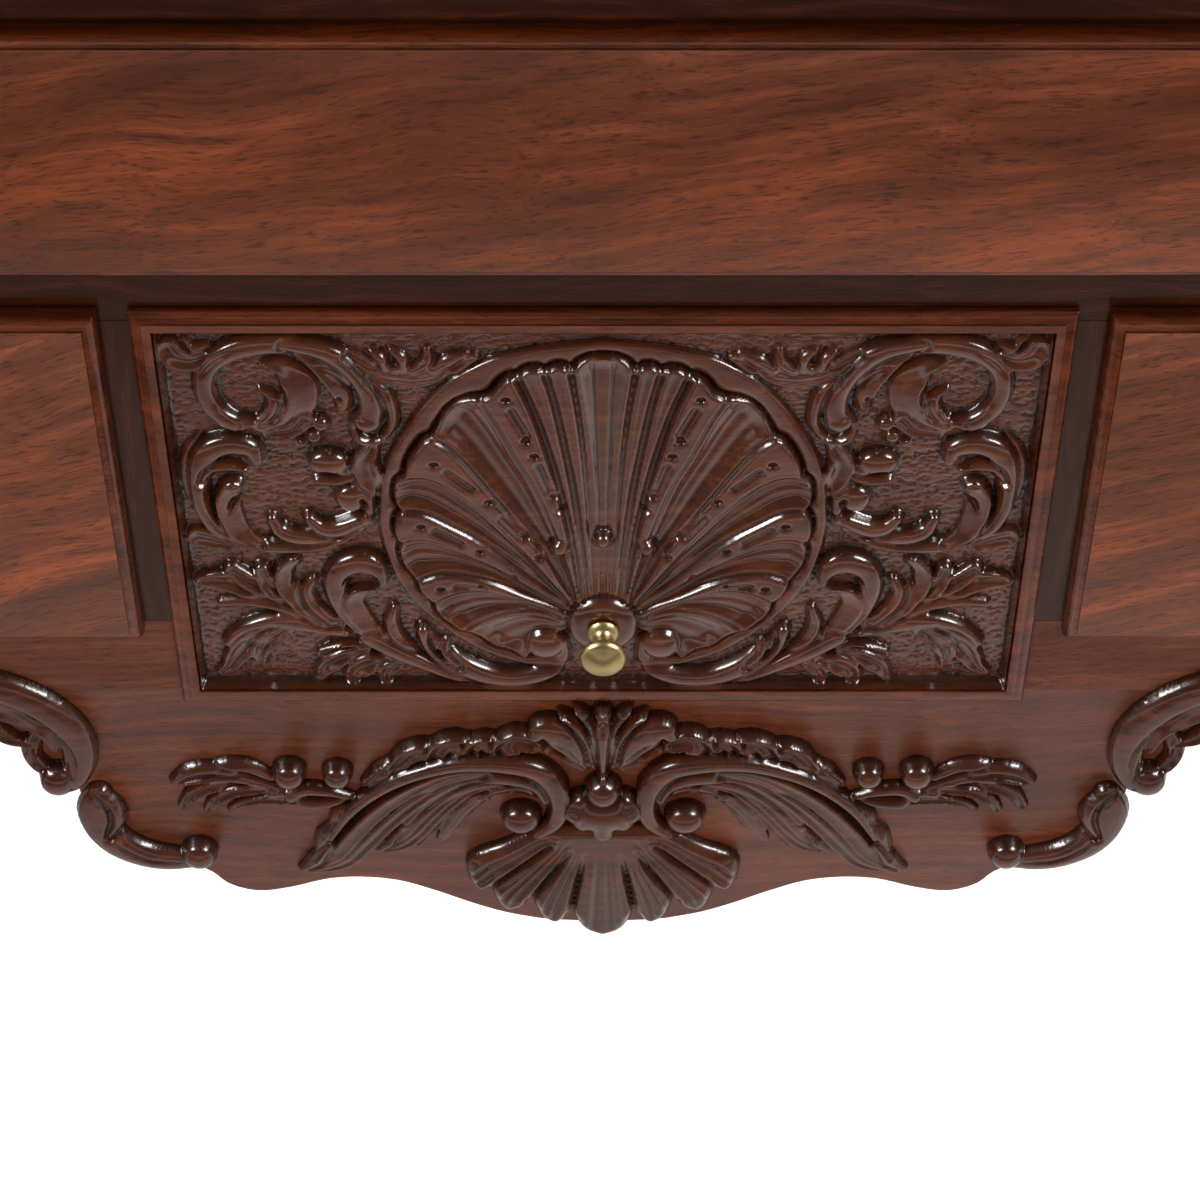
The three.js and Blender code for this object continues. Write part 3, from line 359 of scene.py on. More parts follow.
# Figured mahogany: ribbons of light and dark slant up across the long drawer.
figured_mahogany = wood("figured_mahogany", LONG_FRONT_BROWN, "x", slant=(7, 17), figure=0.52, roughness=0.29,
                        pores=0.6)
# A board with steeper ribbons, for the side drawers.
steep_mahogany = wood("steeply_figured_mahogany", FRONT_BROWN, "x", slant=(16, 27), figure=0.5, pores=0.6)
# The moulded edges of the fronts are polished brighter than the flat faces.
edge_mahogany = wood("polished_mahogany_edge", ("#381405", "#50200a", "#682c10"), "x", roughness=0.17)
# The rails and stiles lie back between the fronts and mirror their lips. Their brown is painted darker than the
# case's, as painted shade between the fronts.
polished_rail_painted_shade = wood("polished_mahogany_rail_painted_shade", PAINTED_SHADE_RAIL_BROWN, "x", figure=0.25, roughness=0.14)
polished_stile_painted_shade = wood("polished_mahogany_stile_painted_shade", PAINTED_SHADE_RAIL_BROWN, "z", figure=0.25, roughness=0.14)
# The moulding under the top is painted darker, as painted shade under the top board.
painted_shade_mahogany = wood("painted_shade_mahogany_moulding", ("#1a0602", "#280a03", "#381107"), "x", roughness=0.22)
# Carved mahogany: dark stain under a glossy coat, with dark glaze and painted shade in the hollows.
carved_mahogany = wood("carved_mahogany", ("#3e1a0a", "#4b210c", "#5a2b11"), "x", figure=0.2, roughness=0.26,
                       coat=0.95, pores=0.22, glazed_and_shaded=True)
# The apron's glued-on carving took more stain than the board behind it.
dark_carved_mahogany = wood("dark_carved_mahogany", ("#341508", "#431c09", "#55270f"), "x", figure=0.2,
                            roughness=0.27, coat=0.6, pores=0.22, glazed_and_shaded=True)
# Poplar, planed and left bare inside: pale yellow-brown, matt.
POPLAR = ("#8f6a3c", "#b58d58", "#cda873")
bare_poplar = wood("bare_poplar", POPLAR, "y", figure=0.3, roughness=0.62, pores=0.12)
# The same wood with its grain across the case, for the backs.
back_poplar = wood("bare_poplar_back", POPLAR, "x", figure=0.3, roughness=0.62, pores=0.12)

# %% Brass material
def brass_finish(name, colour, roughness):
    material = bpy.data.materials.new(name)
    material.use_nodes = True
    tree = material.node_tree
    tree.nodes.clear()
    place = add_node(tree, "ShaderNodeTexCoord").outputs["Object"]
    rubbed = add_node(tree, "ShaderNodeTexNoise", {"Scale": 260.0, "Detail": 4.0}, {"Vector": place})
    tint = add_node(tree, "ShaderNodeMixRGB", {"Color1": linear(colour), "Color2": linear("#a08752")},
                    {"Fac": add_node(tree, "ShaderNodeMapRange", {"To Max": 0.35},
                                     {"Value": rubbed.outputs["Fac"]}).outputs[0]})
    dull = add_node(tree, "ShaderNodeMapRange", {"To Min": roughness - 0.05, "To Max": roughness + 0.1},
                    {"Value": rubbed.outputs["Fac"]})
    shader = add_node(tree, "ShaderNodeBsdfPrincipled", {"Metallic": 1.0},
                      {"Base Color": tint.outputs[0], "Roughness": dull.outputs[0]})
    add_node(tree, "ShaderNodeOutputMaterial", links={"Surface": shader.outputs[0]})
    return material


# Satin brass, turned and lightly brushed: pale gold with a soft sheen.
satin_brass = brass_finish("satin_brass", "#d6bc86", 0.34)

# %% Finish of each CAD piece
finishes = {}
for node_name, node in frame["nodes"].items():
    if "brass" in node_name or "pull" in node_name or "knob" in node_name:
        finish = satin_brass
    elif "back" in node_name and "leg" not in node_name:
        finish = back_poplar
    elif "shelf" in node_name or "bottom" in node_name:
        finish = bare_poplar
    elif "drawer_left_side" in node_name or "drawer_right_side" in node_name:
        finish = bare_poplar
    elif "moulding" in node_name:
        finish = painted_shade_mahogany
    elif "_rail" in node_name:
        finish = polished_rail_painted_shade
    elif "stile" in node_name:
        finish = polished_stile_painted_shade
    elif "leg" in node_name or "column" in node_name or "side_board" in node_name:
        finish = upright_mahogany
    else:
        finish = rail_mahogany
    node.data.materials.clear()
    node.data.materials.append(finish)
    finishes[node_name] = finish.name
print(len(finishes), "CAD pieces have their finish")

# %% [markdown]
# ## Modelling helpers
# Every new piece starts as a primitive at its size and place, and edit mode does the rest.

# %% Selection helpers
def deselect():
    if bpy.context.object and bpy.context.object.mode != "OBJECT":
        bpy.ops.object.mode_set(mode="OBJECT")
    bpy.ops.object.select_all(action="DESELECT")


def settle(piece, name, material, body, nodes, smooth=35):
    deselect()
    piece.name = name
    piece.data.name = name
    piece.select_set(True)
    bpy.context.view_layer.objects.active = piece
    bpy.ops.object.transform_apply(location=True, rotation=True, scale=True)
    bpy.ops.object.shade_smooth_by_angle(angle=math.radians(smooth))
    piece.data.materials.clear()
    piece.data.materials.append(material)
    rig.ride(piece, body)
    if nodes:
        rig.replaces(piece, *nodes)
    print(name, len(piece.data.polygons), "faces")
    return piece


def pick(piece, chosen):
    """Opens edit mode with only the chosen faces selected."""
    bpy.ops.object.mode_set(mode="OBJECT")
    bpy.context.tool_settings.mesh_select_mode = (False, False, True)
    for group in (piece.data.vertices, piece.data.edges):
        group.foreach_set("select", np.zeros(len(group), bool))
    piece.data.polygons.foreach_set("select", chosen)
    bpy.ops.object.mode_set(mode="EDIT")


def pick_faces(piece, wanted):
    bpy.ops.object.mode_set(mode="OBJECT")
    pick(piece, [bool(wanted(face)) for face in piece.data.polygons])


def edit_whole():
    bpy.ops.object.mode_set(mode="EDIT")
    bpy.ops.mesh.select_all(action="SELECT")


def finish_outwards():
    """Faces are turned outwards, and edit mode is left."""
    bpy.ops.mesh.select_all(action="SELECT")
    bpy.ops.mesh.normals_make_consistent(inside=False)
    bpy.ops.object.mode_set(mode="OBJECT")


def box_piece(low, high):
    deselect()
    middle = [(a + b) / 2 for a, b in zip(low, high)]
    bpy.ops.mesh.primitive_cube_add(size=1, location=middle)
    piece = bpy.context.object
    piece.scale = [b - a for a, b in zip(low, high)]
    bpy.ops.object.transform_apply(location=True, rotation=True, scale=True)
    return piece


def ease_edges(piece, width):
    """Sharp edges get a small bevel, as fine sandpaper gives them."""
    eased = piece.modifiers.new("eased_edges", "BEVEL")
    eased.width = width * MM
    eased.segments = 2
    eased.angle_limit = math.radians(50)
    bpy.ops.object.modifier_apply(modifier="eased_edges")


# %% [markdown]
# ## Lipped drawer fronts
# A lip stands round each front: a square edge, a quarter round, a small step and then the flat face. The block
# is bevelled round along its front edges and squeezed to the depth of the lip. Its face is inset and raised
# by the step, and its back inset and drawn out to the part that goes into the case. The shell drawer's face
# is sunk as well. The moulded edges are polished brighter than the face, so they have a finish of their own.

# %% Drawer fronts
LIP_ROUND = 4.2 * MM
LIP_EDGE_SHARE = 0.36
LIP_STEP = 1.0 * MM
LIP_FILLET = 0.6 * MM
LIP_FIT = 7.3 * MM
PANEL_BORDER = 3.4 * MM
PANEL_BACK = 7.4 * MM
SEAT_GAP = 0.3 * MM
CASE_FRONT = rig.box("front_apron")[0].y


def outermost(piece, y_sign):
    edge_y = max(v.co.y * y_sign for v in piece.data.vertices)
    return lambda face: abs(face.center.y * y_sign - edge_y) < 1e-6 and abs(face.normal.y) > 0.99


def pick_largest(piece, y_sign):
    bpy.ops.object.mode_set(mode="OBJECT")
    chosen = [f for f in piece.data.polygons if outermost(piece, y_sign)(f)]
    largest = max(chosen, key=lambda f: f.area).index
    pick_faces(piece, lambda face: face.index == largest)


def lipped_front(name, body, face_finish, sunk=False):
    low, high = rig.box(name)
    proud = CASE_FRONT - low.y
    seat = CASE_FRONT - SEAT_GAP
    round_depth = proud * (1 - LIP_EDGE_SHARE) - LIP_STEP
    squeeze = round_depth / LIP_ROUND
    piece = box_piece((low.x, seat - (proud - LIP_STEP - SEAT_GAP) / squeeze, low.z), (high.x, seat, high.z))
    pick_faces(piece, lambda face: face.normal.y < -0.99)
    bpy.ops.mesh.select_mode(type="EDGE")
    bpy.ops.mesh.bevel(offset=LIP_ROUND, segments=8, profile=0.5, affect="EDGES")
    bpy.ops.mesh.select_all(action="SELECT")
    bpy.ops.transform.resize(value=(1, squeeze, 1), center_override=(0, seat, 0))
    pick_faces(piece, outermost(piece, -1))
    bpy.ops.mesh.inset(thickness=LIP_FILLET, depth=0)
    pick_largest(piece, -1)
    bpy.ops.mesh.extrude_region_move(TRANSFORM_OT_translate={"value": (0, -LIP_STEP, 0)})
    if sunk:
        bpy.ops.mesh.inset(thickness=PANEL_BORDER, depth=0)
        bpy.ops.mesh.extrude_region_move(TRANSFORM_OT_translate={"value": (0, PANEL_BACK, 0)})
    pick_faces(piece, outermost(piece, 1))
    bpy.ops.mesh.inset(thickness=LIP_FIT, depth=0)
    bpy.ops.mesh.extrude_region_move(TRANSFORM_OT_translate={"value": (0, high.y - seat, 0)})
    bpy.ops.object.mode_set(mode="OBJECT")
    ease_edges(piece, 0.3)
    settle(piece, name + "_lipped", edge_mahogany, body, [name])
    piece.data.materials.append(face_finish)
    for face in piece.data.polygons:
        face.material_index = int(face.normal.y < -0.99 and face.center.y < low.y + LIP_STEP / 2)
    return piece


lipped_front("long_drawer_front", "long_drawer", figured_mahogany)
for side in ("left", "right"):
    lipped_front(f"{side}_drawer_front", f"{side}_drawer", steep_mahogany)
lipped_front("shell_drawer_front", "shell_drawer", rail_mahogany, sunk=True)

# %% [markdown]
# ## Carving
# A carver works from a drawing: stems and leaves are outlined, the ground between them is cut away and
# punched, and gouges hollow each leaf. Here the wood is a fine grid whose points are raised along such
# strokes. A stroke has a line, a width and a height along it, and a section across it.
# Modelling each leaf by hand from primitives would lose the way that one leaf flows into the next.

# %% Carving tools
CELL = 0.55
WALL = 1.0
# The eye's height over the floor and its distance from the fronts, the share of a stroke's rise that shows,
# and how much a proud place seems to move away from the middle, all for reading the photograph.
EYE = (1193.3, 765.5)
SHOWN = 0.5
SPREADING = 0.00095
# The line that is cut round a stroke, and how it fades where the stroke grows out of another.
MOAT_WIDTH, MOAT_SHARE = 1.5, 1.8
MOAT_FADE, MOAT_LEAST = 8, 0.15

SECTIONS = {
    "round": (
        (-1, 0.42), (-0.92, 0.62), (-0.7, 0.84), (-0.4, 0.96), (0, 1), (0.4, 0.96), (0.7, 0.84),
        (0.92, 0.62), (1, 0.42),
    ),
    "flat": ((-1, 0.78), (-0.8, 0.96), (0, 1), (0.8, 0.96), (1, 0.78)),
    "leaf": (
        (-1, 0.66), (-0.88, 0.96), (-0.72, 1), (-0.35, 0.68), (0, 0.5), (0.35, 0.68), (0.72, 1),
        (0.88, 0.96), (1, 0.66),
    ),
    "left_high": ((-1, 0.4), (-0.6, 0.56), (0, 0.72), (0.5, 0.9), (0.8, 1), (1, 0.72)),
    "right_high": ((-1, 0.72), (-0.8, 1), (-0.5, 0.9), (0, 0.72), (0.6, 0.56), (1, 0.4)),
    "frond": (
        (-1, 0.9), (-0.6, 0.74), (-0.3, 0.72), (-0.1, 0.82), (0, 0.62), (0.12, 0.8), (0.4, 0.72),
        (0.52, 0.6), (0.64, 0.76), (0.9, 0.8), (1, 0.56),
    ),
    "blade": ((-1, 0.5), (-0.5, 0.78), (0, 1), (0.5, 0.78), (1, 0.5)),
}


def make_field(x_span, z_span, plane=0.0):
    xs = np.linspace(*x_span, round((x_span[1] - x_span[0]) / CELL) + 1)
    zs = np.linspace(*z_span, round((z_span[1] - z_span[0]) / CELL) + 1)
    x, z = np.meshgrid(xs, zs)
    return {"x": x, "z": z, "h": np.zeros_like(x), "edge": np.full_like(x, -99.0), "plane": plane}


def seen(field, points, rise):
    """A place read on the front plane moves back along the line of sight to the wood that stands proud of it.

    What shows of a stem is half its top and half its upper wall, so strokes use half their rise.
    """
    proud = rise - field["plane"]
    return [(x * (1 - SPREADING * proud), z + (EYE[0] - z) * proud / EYE[1]) for x, z in points]


def smooth_line(points, step=0.7):
    p = np.array(points, float)
    ends = np.vstack([2 * p[0] - p[1], p, 2 * p[-1] - p[-2]])
    out = []
    for i in range(len(p) - 1):
        a, b, c, d = ends[i:i + 4]
        count = max(2, int(np.linalg.norm(c - b) / step))
        t = np.linspace(0, 1, count, endpoint=False)[:, None]
        out.append(0.5 * (2 * b + (c - a) * t + (2 * a - 5 * b + 4 * c - d) * t ** 2
                          + (3 * b - a - 3 * c + d) * t ** 3))
    out.append(p[-1:])
    return np.vstack(out)


def trace(field, line, margin):
    """For each grid point near a line: distance to it, which side it is on, and the share of the way along."""
    x, z = field["x"], field["z"]
    dist = np.full_like(x, 1e6)
    side = np.zeros_like(x)
    along = np.zeros_like(x)
    lengths = np.hypot(*(line[1:] - line[:-1]).T)
    start = np.concatenate([[0], np.cumsum(lengths)])
    x0, z0 = x[0, 0], z[0, 0]
    rows, columns = x.shape
    for i, length in enumerate(lengths):
        if length < 1e-9:
            continue
        a, b = line[i], line[i + 1]
        c0 = max(0, int((min(a[0], b[0]) - margin - x0) / CELL))
        c1 = min(columns, int((max(a[0], b[0]) + margin - x0) / CELL) + 2)
        r0 = max(0, int((min(a[1], b[1]) - margin - z0) / CELL))
        r1 = min(rows, int((max(a[1], b[1]) + margin - z0) / CELL) + 2)
        if c0 >= c1 or r0 >= r1:
            continue
        window = (slice(r0, r1), slice(c0, c1))
        px, pz = x[window] - a[0], z[window] - a[1]
        ux, uz = (b - a) / length
        t = np.clip(px * ux + pz * uz, 0, length)
        near = np.hypot(px - t * ux, pz - t * uz)
        closer = near < dist[window]
        dist[window] = np.where(closer, near, dist[window])
        side[window] = np.where(closer, np.sign(ux * pz - uz * px), side[window])
        along[window] = np.where(closer, (start[i] + t) / start[-1], along[window])
    return dist, side, along


def spread(values, along):
    return np.interp(along, np.linspace(0, 1, len(values)), values)


def stroke(field, section, rises, widths, points, moat=0.0):
    """Raises a stem or leaf along its line, and can sink a thin line round it."""
    top = max(rises)
    line = smooth_line(seen(field, points, top * SHOWN))
    dist, side, along = trace(field, line, max(widths) + 2 * WALL)
    half = spread(widths, along)
    table = np.array(SECTIONS[section])
    across = np.clip(side * dist / np.maximum(half, 0.05), -1, 1)
    wall = np.clip((half + WALL / 2 - dist) / WALL, 0, 1)
    height = spread(rises, along) * np.interp(across, table[:, 0], table[:, 1])
    if moat:
        fade = np.clip(MOAT_FADE * np.minimum(along, 1 - along), MOAT_LEAST, 1)
        ring = np.clip(1 - (dist - half) / MOAT_WIDTH, 0, 1) * fade
        sunk = np.maximum(field["h"] - MOAT_SHARE * moat * ring, np.minimum(field["h"], 0.0))
        field["h"] = sunk * (1 - wall) + height * wall
    else:
        field["h"] = np.maximum(field["h"], height * wall)
    field["edge"] = np.maximum(field["edge"], half - dist)


def cut(field, rise, width, depth, points):
    """Takes a gouge along a line out of wood that stands at the given rise."""
    line = smooth_line(seen(field, points, rise * SHOWN))
    dist, _, along = trace(field, line, width + WALL)
    taper = np.sin(np.pi * np.clip(along, 0.02, 0.98)) ** 0.6
    hollow = np.clip(1 - (dist / (width * taper + 0.05)) ** 2, 0, 1) ** 0.7
    field["h"] = np.maximum(field["h"] - depth * hollow * taper, np.minimum(field["h"], 0.0))


def slot(field, half, depth, points):
    """A flat-bottomed slot or hole with steep walls, cut into the shell."""
    distance, _, _ = trace(field, np.array(seen(field, points, 4.0)), half + WALL)
    field["h"] = field["h"] - depth * np.clip((half - distance) / 0.8 + 0.4, 0, 1)


def ball(field, place, size, rise):
    """A round boss, such as the eye of a scroll."""
    (x, z), = seen(field, [place], rise * SHOWN)
    wide, tall = size
    rho = np.hypot((field["x"] - x) / wide, (field["z"] - z) / tall)
    dome = rise * (0.35 + 0.65 * np.sqrt(np.clip(1 - rho ** 2, 0, 1)))
    wall = np.clip((1 - rho) * min(size) / WALL + 0.5, 0, 1)
    field["h"] = np.maximum(field["h"], dome * wall)
    field["edge"] = np.maximum(field["edge"], (1 - rho) * min(size))


def area(field, points):
    """Signed distance inside a closed outline, positive within it."""
    p = np.array(points, float)
    x, z = field["x"], field["z"]
    inside = np.zeros(x.shape, bool)
    for a, b in zip(p, np.roll(p, -1, axis=0)):
        crosses = (a[1] > z) != (b[1] > z)
        with np.errstate(divide="ignore", invalid="ignore"):
            at = (b[0] - a[0]) * (z - a[1]) / (b[1] - a[1]) + a[0]
        inside ^= crosses & (x < at)
    dist, _, _ = trace(field, np.vstack([p, p[:1]]), 12)
    return np.where(inside, 1, -1) * np.minimum(dist, 12)


def soften(h, passes=1):
    for _ in range(passes):
        wide = np.pad(h, 1, mode="edge")
        h = (wide[1:-1, 1:-1] * 4 + 2 * (wide[:-2, 1:-1] + wide[2:, 1:-1] + wide[1:-1, :-2] + wide[1:-1, 2:])
             + wide[:-2, :-2] + wide[:-2, 2:] + wide[2:, :-2] + wide[2:, 2:]) / 16
    return h


# How widely each look at the surroundings is softened, how fast the glaze and painted shade darken, and how dark they
# get.
GLAZE_AND_SHADE_LOOKS = ((6, 1.1, 0.55), (40, 0.18, 0.4))


def glaze_and_shade_of(h):
    """Dark glaze and painted shade gather where the surface lies below its surroundings."""
    return sum(np.clip((soften(h, passes) - h) * gain, 0, most) for passes, gain, most in GLAZE_AND_SHADE_LOOKS)


# %% [markdown]
# ## The shell drawer's panel
# Two C-scrolls, acanthus leaves and a wide shell inside a raised ring stand on a sunk, punched ground.
# The left half is drawn stroke by stroke and the right half mirrors it, as a carver's pattern is turned over.

# %% Scrolls and leaves of the left half
PANEL_X = (-156.7, 0)
PANEL_Z = (433.9, 607.9)
FACE_RISE = 6.5
panel = make_field(PANEL_X, PANEL_Z, 3.5)

# Each row: section, rises, half widths, line, and how deep the line round it is cut.
PANEL_STROKES = [
    # upper scroll: its ring, the leaf inside it and the two bands that run to the volute
    ("round", (4.6, 5.4, 5.6, 5.4, 5.0, 4.8), (3, 3.6, 4.2, 4.6, 4.4, 4.0, 3.9, 3.8, 3.9, 4.2),
     ((-97, 597), (-108, 601), (-120, 601.5), (-131, 598.5), (-139, 591.5), (-141.6, 582), (-139.5, 573),
      (-133, 566.5), (-125, 564)), 0),
    ("left_high", (5.0, 5.6, 6.0, 5.6, 4.2), (3.2, 4.6, 6.2, 7.2, 7.0, 4.0, 1.2),
     ((-128, 563.6), (-119, 565), (-112, 570), (-108.5, 577), (-109, 585), (-113.5, 591), (-119.5, 592.5)), 0.8),
    ("blade", (4.2, 4.4, 3.0), (2.2, 2.8, 2.4, 1.0),
     ((-122, 567.5), (-118.5, 572), (-118, 577.5), (-122, 581.5)), 1.2),
    ("right_high", (4.8, 5.6, 5.2, 4.2), (2.8, 4.2, 4.6, 4.0, 2.4),
     ((-110, 601.5), (-102, 596.5), (-96, 588), (-93, 579.5), (-92.8, 572.5)), 0.5),
    ("round", (4.6, 5.6, 6.0, 5.8), (2.6, 3.8, 4.4, 4.8, 4.8, 4.6),
     ((-112, 601.6), (-98, 598.5), (-88.6, 591), (-83.6, 582), (-82.6, 573), (-84.5, 566.5)), 0.5),
    ("blade", (3.6, 4.4, 4.2), (1.6, 2.3, 2.5, 2.3, 1.4),
     ((-86, 592.5), (-79.5, 584), (-76, 575), (-75.6, 566), (-79.5, 559)), 0.8),
    ("blade", (3.6, 4.6, 3.6), (1.0, 1.9, 2.0, 1.0),
     ((-90.2, 566), (-88.8, 559.6), (-84, 556.6), (-78.5, 558.6)), 0.8),
    # small curled leaf under the ring, and the corner leaf
    ("leaf", (3.6, 4.4, 4.6), (1.6, 2.4, 3.0), ((-121, 561), (-112, 563), (-106.5, 568)), 0.6),
    ("leaf", (3.4, 4.2, 3.8), (2.4, 4.2, 4.6, 3.4),
     ((-140, 596), (-145.5, 595), (-150.5, 596.5), (-152.5, 600.5)), 0),
    ("blade", (3.0, 3.8, 3.2), (1.4, 2.0, 1.4), ((-139, 601), (-144, 600), (-146.6, 603.6)), 0.8),
    # second scroll: its head, long back and the leaf inside it
    ("round", (5.6, 6.2, 6.2, 5.6, 5.2, 5.0, 4.8),
     (3, 4.6, 5.2, 4.8, 4.0, 3.6, 3.3, 3.1, 3.0, 2.9, 2.8, 2.8, 2.9, 2.8),
     ((-125.5, 549.5), (-127.5, 554.5), (-135, 556.2), (-143, 552.5), (-147.3, 544), (-148.3, 533),
      (-146.8, 523), (-142, 514), (-134, 508.5), (-124, 506.6), (-113, 506.6), (-103, 508.5), (-94, 513.5),
      (-87.5, 520)), 0.6),
    ("blade", (2.8, 3.6, 3.0), (0.8, 1.5, 1.5, 0.8),
     ((-145.5, 561), (-151, 552.5), (-152.9, 541), (-151.8, 529)), 0.5),
    ("blade", (4.4, 5.0, 3.6), (2.0, 2.5, 2.4, 1.0),
     ((-146, 540), (-142.5, 545), (-136.5, 546), (-129.8, 543.6)), 1.0),
    ("left_high", (3.6, 4.6, 5.2, 5.2), (2.4, 3.8, 4.8, 5.0, 3.8),
     ((-128, 508), (-134.5, 513.5), (-137.6, 522), (-138, 530.5), (-135.6, 536)), 0.8),
    # lobes and small heads at the right of the second scroll
    ("round", (4.2, 5.0, 5.0, 4.6), (2.2, 3.6, 3.8, 3.6, 3.0),
     ((-122.5, 520.5), (-119.5, 514.5), (-112.5, 511.8), (-103.5, 512.8), (-96, 517)), 0.8),
    ("round", (4.6, 5.6, 5.4), (2.4, 3.6, 3.8, 3.2),
     ((-108.6, 520.5), (-104.5, 516.2), (-98, 515.8), (-90.5, 519.5)), 1.0),
    ("round", (4.6, 5.0, 4.6), (4.2, 4.2, 3.2, 2.4), ((-96, 546), (-91, 541.5), (-87, 535), (-86, 525)), 0.6),
    ("blade", (3.8, 4.6, 3.8), (1.8, 2.5, 2.2), ((-104.4, 539), (-97.5, 539), (-90.5, 540.5)), 0.9),
    ("leaf", (3.4, 4.4, 4.2, 3.4), (2.2, 4.2, 4.2, 2.0),
     ((-83.5, 555), (-86.6, 548), (-85, 540.5), (-81.5, 533)), 0.8),
    ("leaf", (3.0, 3.6, 3.0), (4.0, 3.8, 1.6), ((-150.5, 511.6), (-145, 510.3), (-137.5, 507.3)), 0.5),
    # leaf with four lobes at the left edge
    ("leaf", (3.4, 4.8, 5.2, 5.0), (2.6, 4.2, 4.8, 4.6, 4.2, 3.2),
     ((-151.3, 489), (-145, 489.6), (-137, 487.8), (-128, 482.5), (-118.5, 475), (-110, 468.5)), 0),
    ("leaf", (4.0, 4.8, 4.8), (2.6, 3.6, 3.4), ((-139.5, 495.3), (-134.5, 490.5), (-126, 484)), 0.6),
    ("leaf", (4.2, 4.8, 4.8), (2.4, 3.4, 3.4), ((-128.3, 495), (-126.5, 488), (-120.5, 480)), 0.6),
    ("blade", (3.4, 4.4, 4.6), (2.0, 2.7, 2.8, 2.6),
     ((-145, 477.6), (-136, 478.4), (-126, 477), (-115.5, 472.6)), 1.0),
    # arching leaf below it
    ("round", (4.2, 5.2, 5.4, 4.8), (1.6, 3.6, 4.6, 4.6, 4.4, 3.4),
     ((-98.5, 461.8), (-110, 466), (-120, 468), (-130, 466.5), (-138, 462.5), (-143.2, 457)), 0),
    ("leaf", (4.6, 4.6, 3.6, 2.8), (3.6, 4.6, 4.6, 3.4, 1.4),
     ((-127, 464), (-135.5, 458), (-141, 451), (-144.6, 444.5), (-148.8, 440.6)), 0.6),
    ("leaf", (4.6, 4.6, 3.4), (3.0, 3.8, 3.6, 2.0),
     ((-122, 464), (-129.5, 458), (-132.6, 451.5), (-132.6, 447.3)), 0.5),
    # two leaves that hang from the main stem
    ("leaf", (4.2, 4.4, 3.6), (1.8, 2.9, 2.2), ((-91.5, 454.5), (-101, 453.8), (-108.4, 451.4)), 0.8),
    ("leaf", (4.4, 4.6, 3.6), (2.4, 3.4, 3.6, 1.8),
     ((-92.5, 452.8), (-101, 449.4), (-107, 444.6), (-110, 438.9)), 0.8),
    ("leaf", (4.4, 4.6, 3.4), (2.4, 4.4, 4.0, 1.6), ((-84, 448), (-92.3, 445.2), (-97, 440.6), (-97.2, 436.4)), 0.9),
    ("leaf", (4.2, 4.2, 3.4), (2.4, 3.0, 1.6), ((-79.5, 446), (-84.6, 441.8), (-84.4, 437)), 0.8),
    # main stem, its curling head, and the leaf beside it
    ("round", (3.8, 4.8, 5.4, 5.8, 6.2, 6.2), (2.4, 3.2, 3.8, 4.2, 4.4, 4.4, 4.6, 5.4, 5.4, 3.2),
     ((-64, 444), (-76, 450.5), (-86, 458.5), (-94, 467.5), (-99.3, 477), (-101.3, 487), (-98.3, 495), (-91.5, 498.6),
      (-85.4, 496), (-83.6, 490)), 0.8),
    ("left_high", (3.8, 4.8, 4.4), (3.0, 4.0, 4.4, 4.0, 1.8),
     ((-88, 462.5), (-92.5, 470), (-95, 477.5), (-92.5, 482.6), (-86.6, 484.6)), 1.0),
    ("blade", (3.8, 4.8, 4.6), (1.8, 3.0, 3.1, 2.6), ((-79.4, 475), (-81, 467.3), (-79, 459.3), (-73.5, 451)), 0.8),
    ("left_high", (4.6, 5.4, 5.6, 5.0), (2.8, 4.0, 4.6, 4.6, 3.8, 2.8),
     ((-101, 465.4), (-109.5, 473), (-116, 480.5), (-119.8, 488), (-120, 494.5), (-116, 499.5)), 0.8),
    ("blade", (3.8, 4.4, 4.0), (2.6, 3.0, 3.0, 2.2),
     ((-103.5, 468), (-110, 476), (-112.2, 483.5), (-109.8, 489.6)), 0.9),
    # lower stem: two long bands and the volute beside the boss
    ("round", (4.2, 4.8, 5.0, 4.6), (1.8, 3.0, 3.5, 4.0, 4.0),
     ((-44, 436.3), (-56, 439.4), (-68, 445.4), (-80, 452.4), (-90, 459.4)), 0.4),
    ("round", (5.6, 5.8, 5.6, 5.4, 5.0), (3.0, 3.6, 4.2, 4.4, 4.6, 5.0, 5.2, 4.6, 2.6),
     ((-15.8, 457), (-16, 449), (-21, 442.5), (-30, 438.6), (-40, 438.2), (-50, 441.6), (-59, 448), (-66, 456),
      (-69.3, 463.6)), 0.9),
    ("blade", (4.0, 4.4, 3.2), (2.6, 2.8, 1.6), ((-56.5, 445.5), (-61, 452), (-60, 458)), 0.8),
    # small leaves above the ring
    ("leaf", (2.4, 3.8, 4.0, 3.4), (1.4, 2.6, 3.0, 3.0, 2.8, 1.4),
     ((-90, 597.6), (-82, 591.8), (-72, 587.8), (-61.5, 588.2), (-51.5, 592), (-45.5, 595.6)), 0.3),
    ("blade", (3.0, 3.8, 2.8), (1.8, 2.3, 1.4), ((-77.4, 590.5), (-78.3, 595), (-81.2, 597.6)), 0.7),
    ("blade", (3.0, 3.8, 2.8), (2.0, 2.5, 1.5), ((-70.6, 590.2), (-71, 595.2), (-74.4, 598.6)), 0.7),
    ("blade", (3.2, 4.0, 2.8), (2.2, 2.8, 1.5), ((-67, 589.6), (-62.4, 593.6), (-62, 599)), 0.7),
    ("blade", (3.2, 3.8, 2.6), (2.2, 2.8, 1.5), ((-60, 590), (-54.5, 594), (-48.6, 597)), 0.7),
    ("blade", (2.0, 2.8, 2.2), (1.2, 2.0, 2.0, 1.2), ((-82, 588), (-73, 584.4), (-63, 584.4), (-54, 588)), 0.4),
]
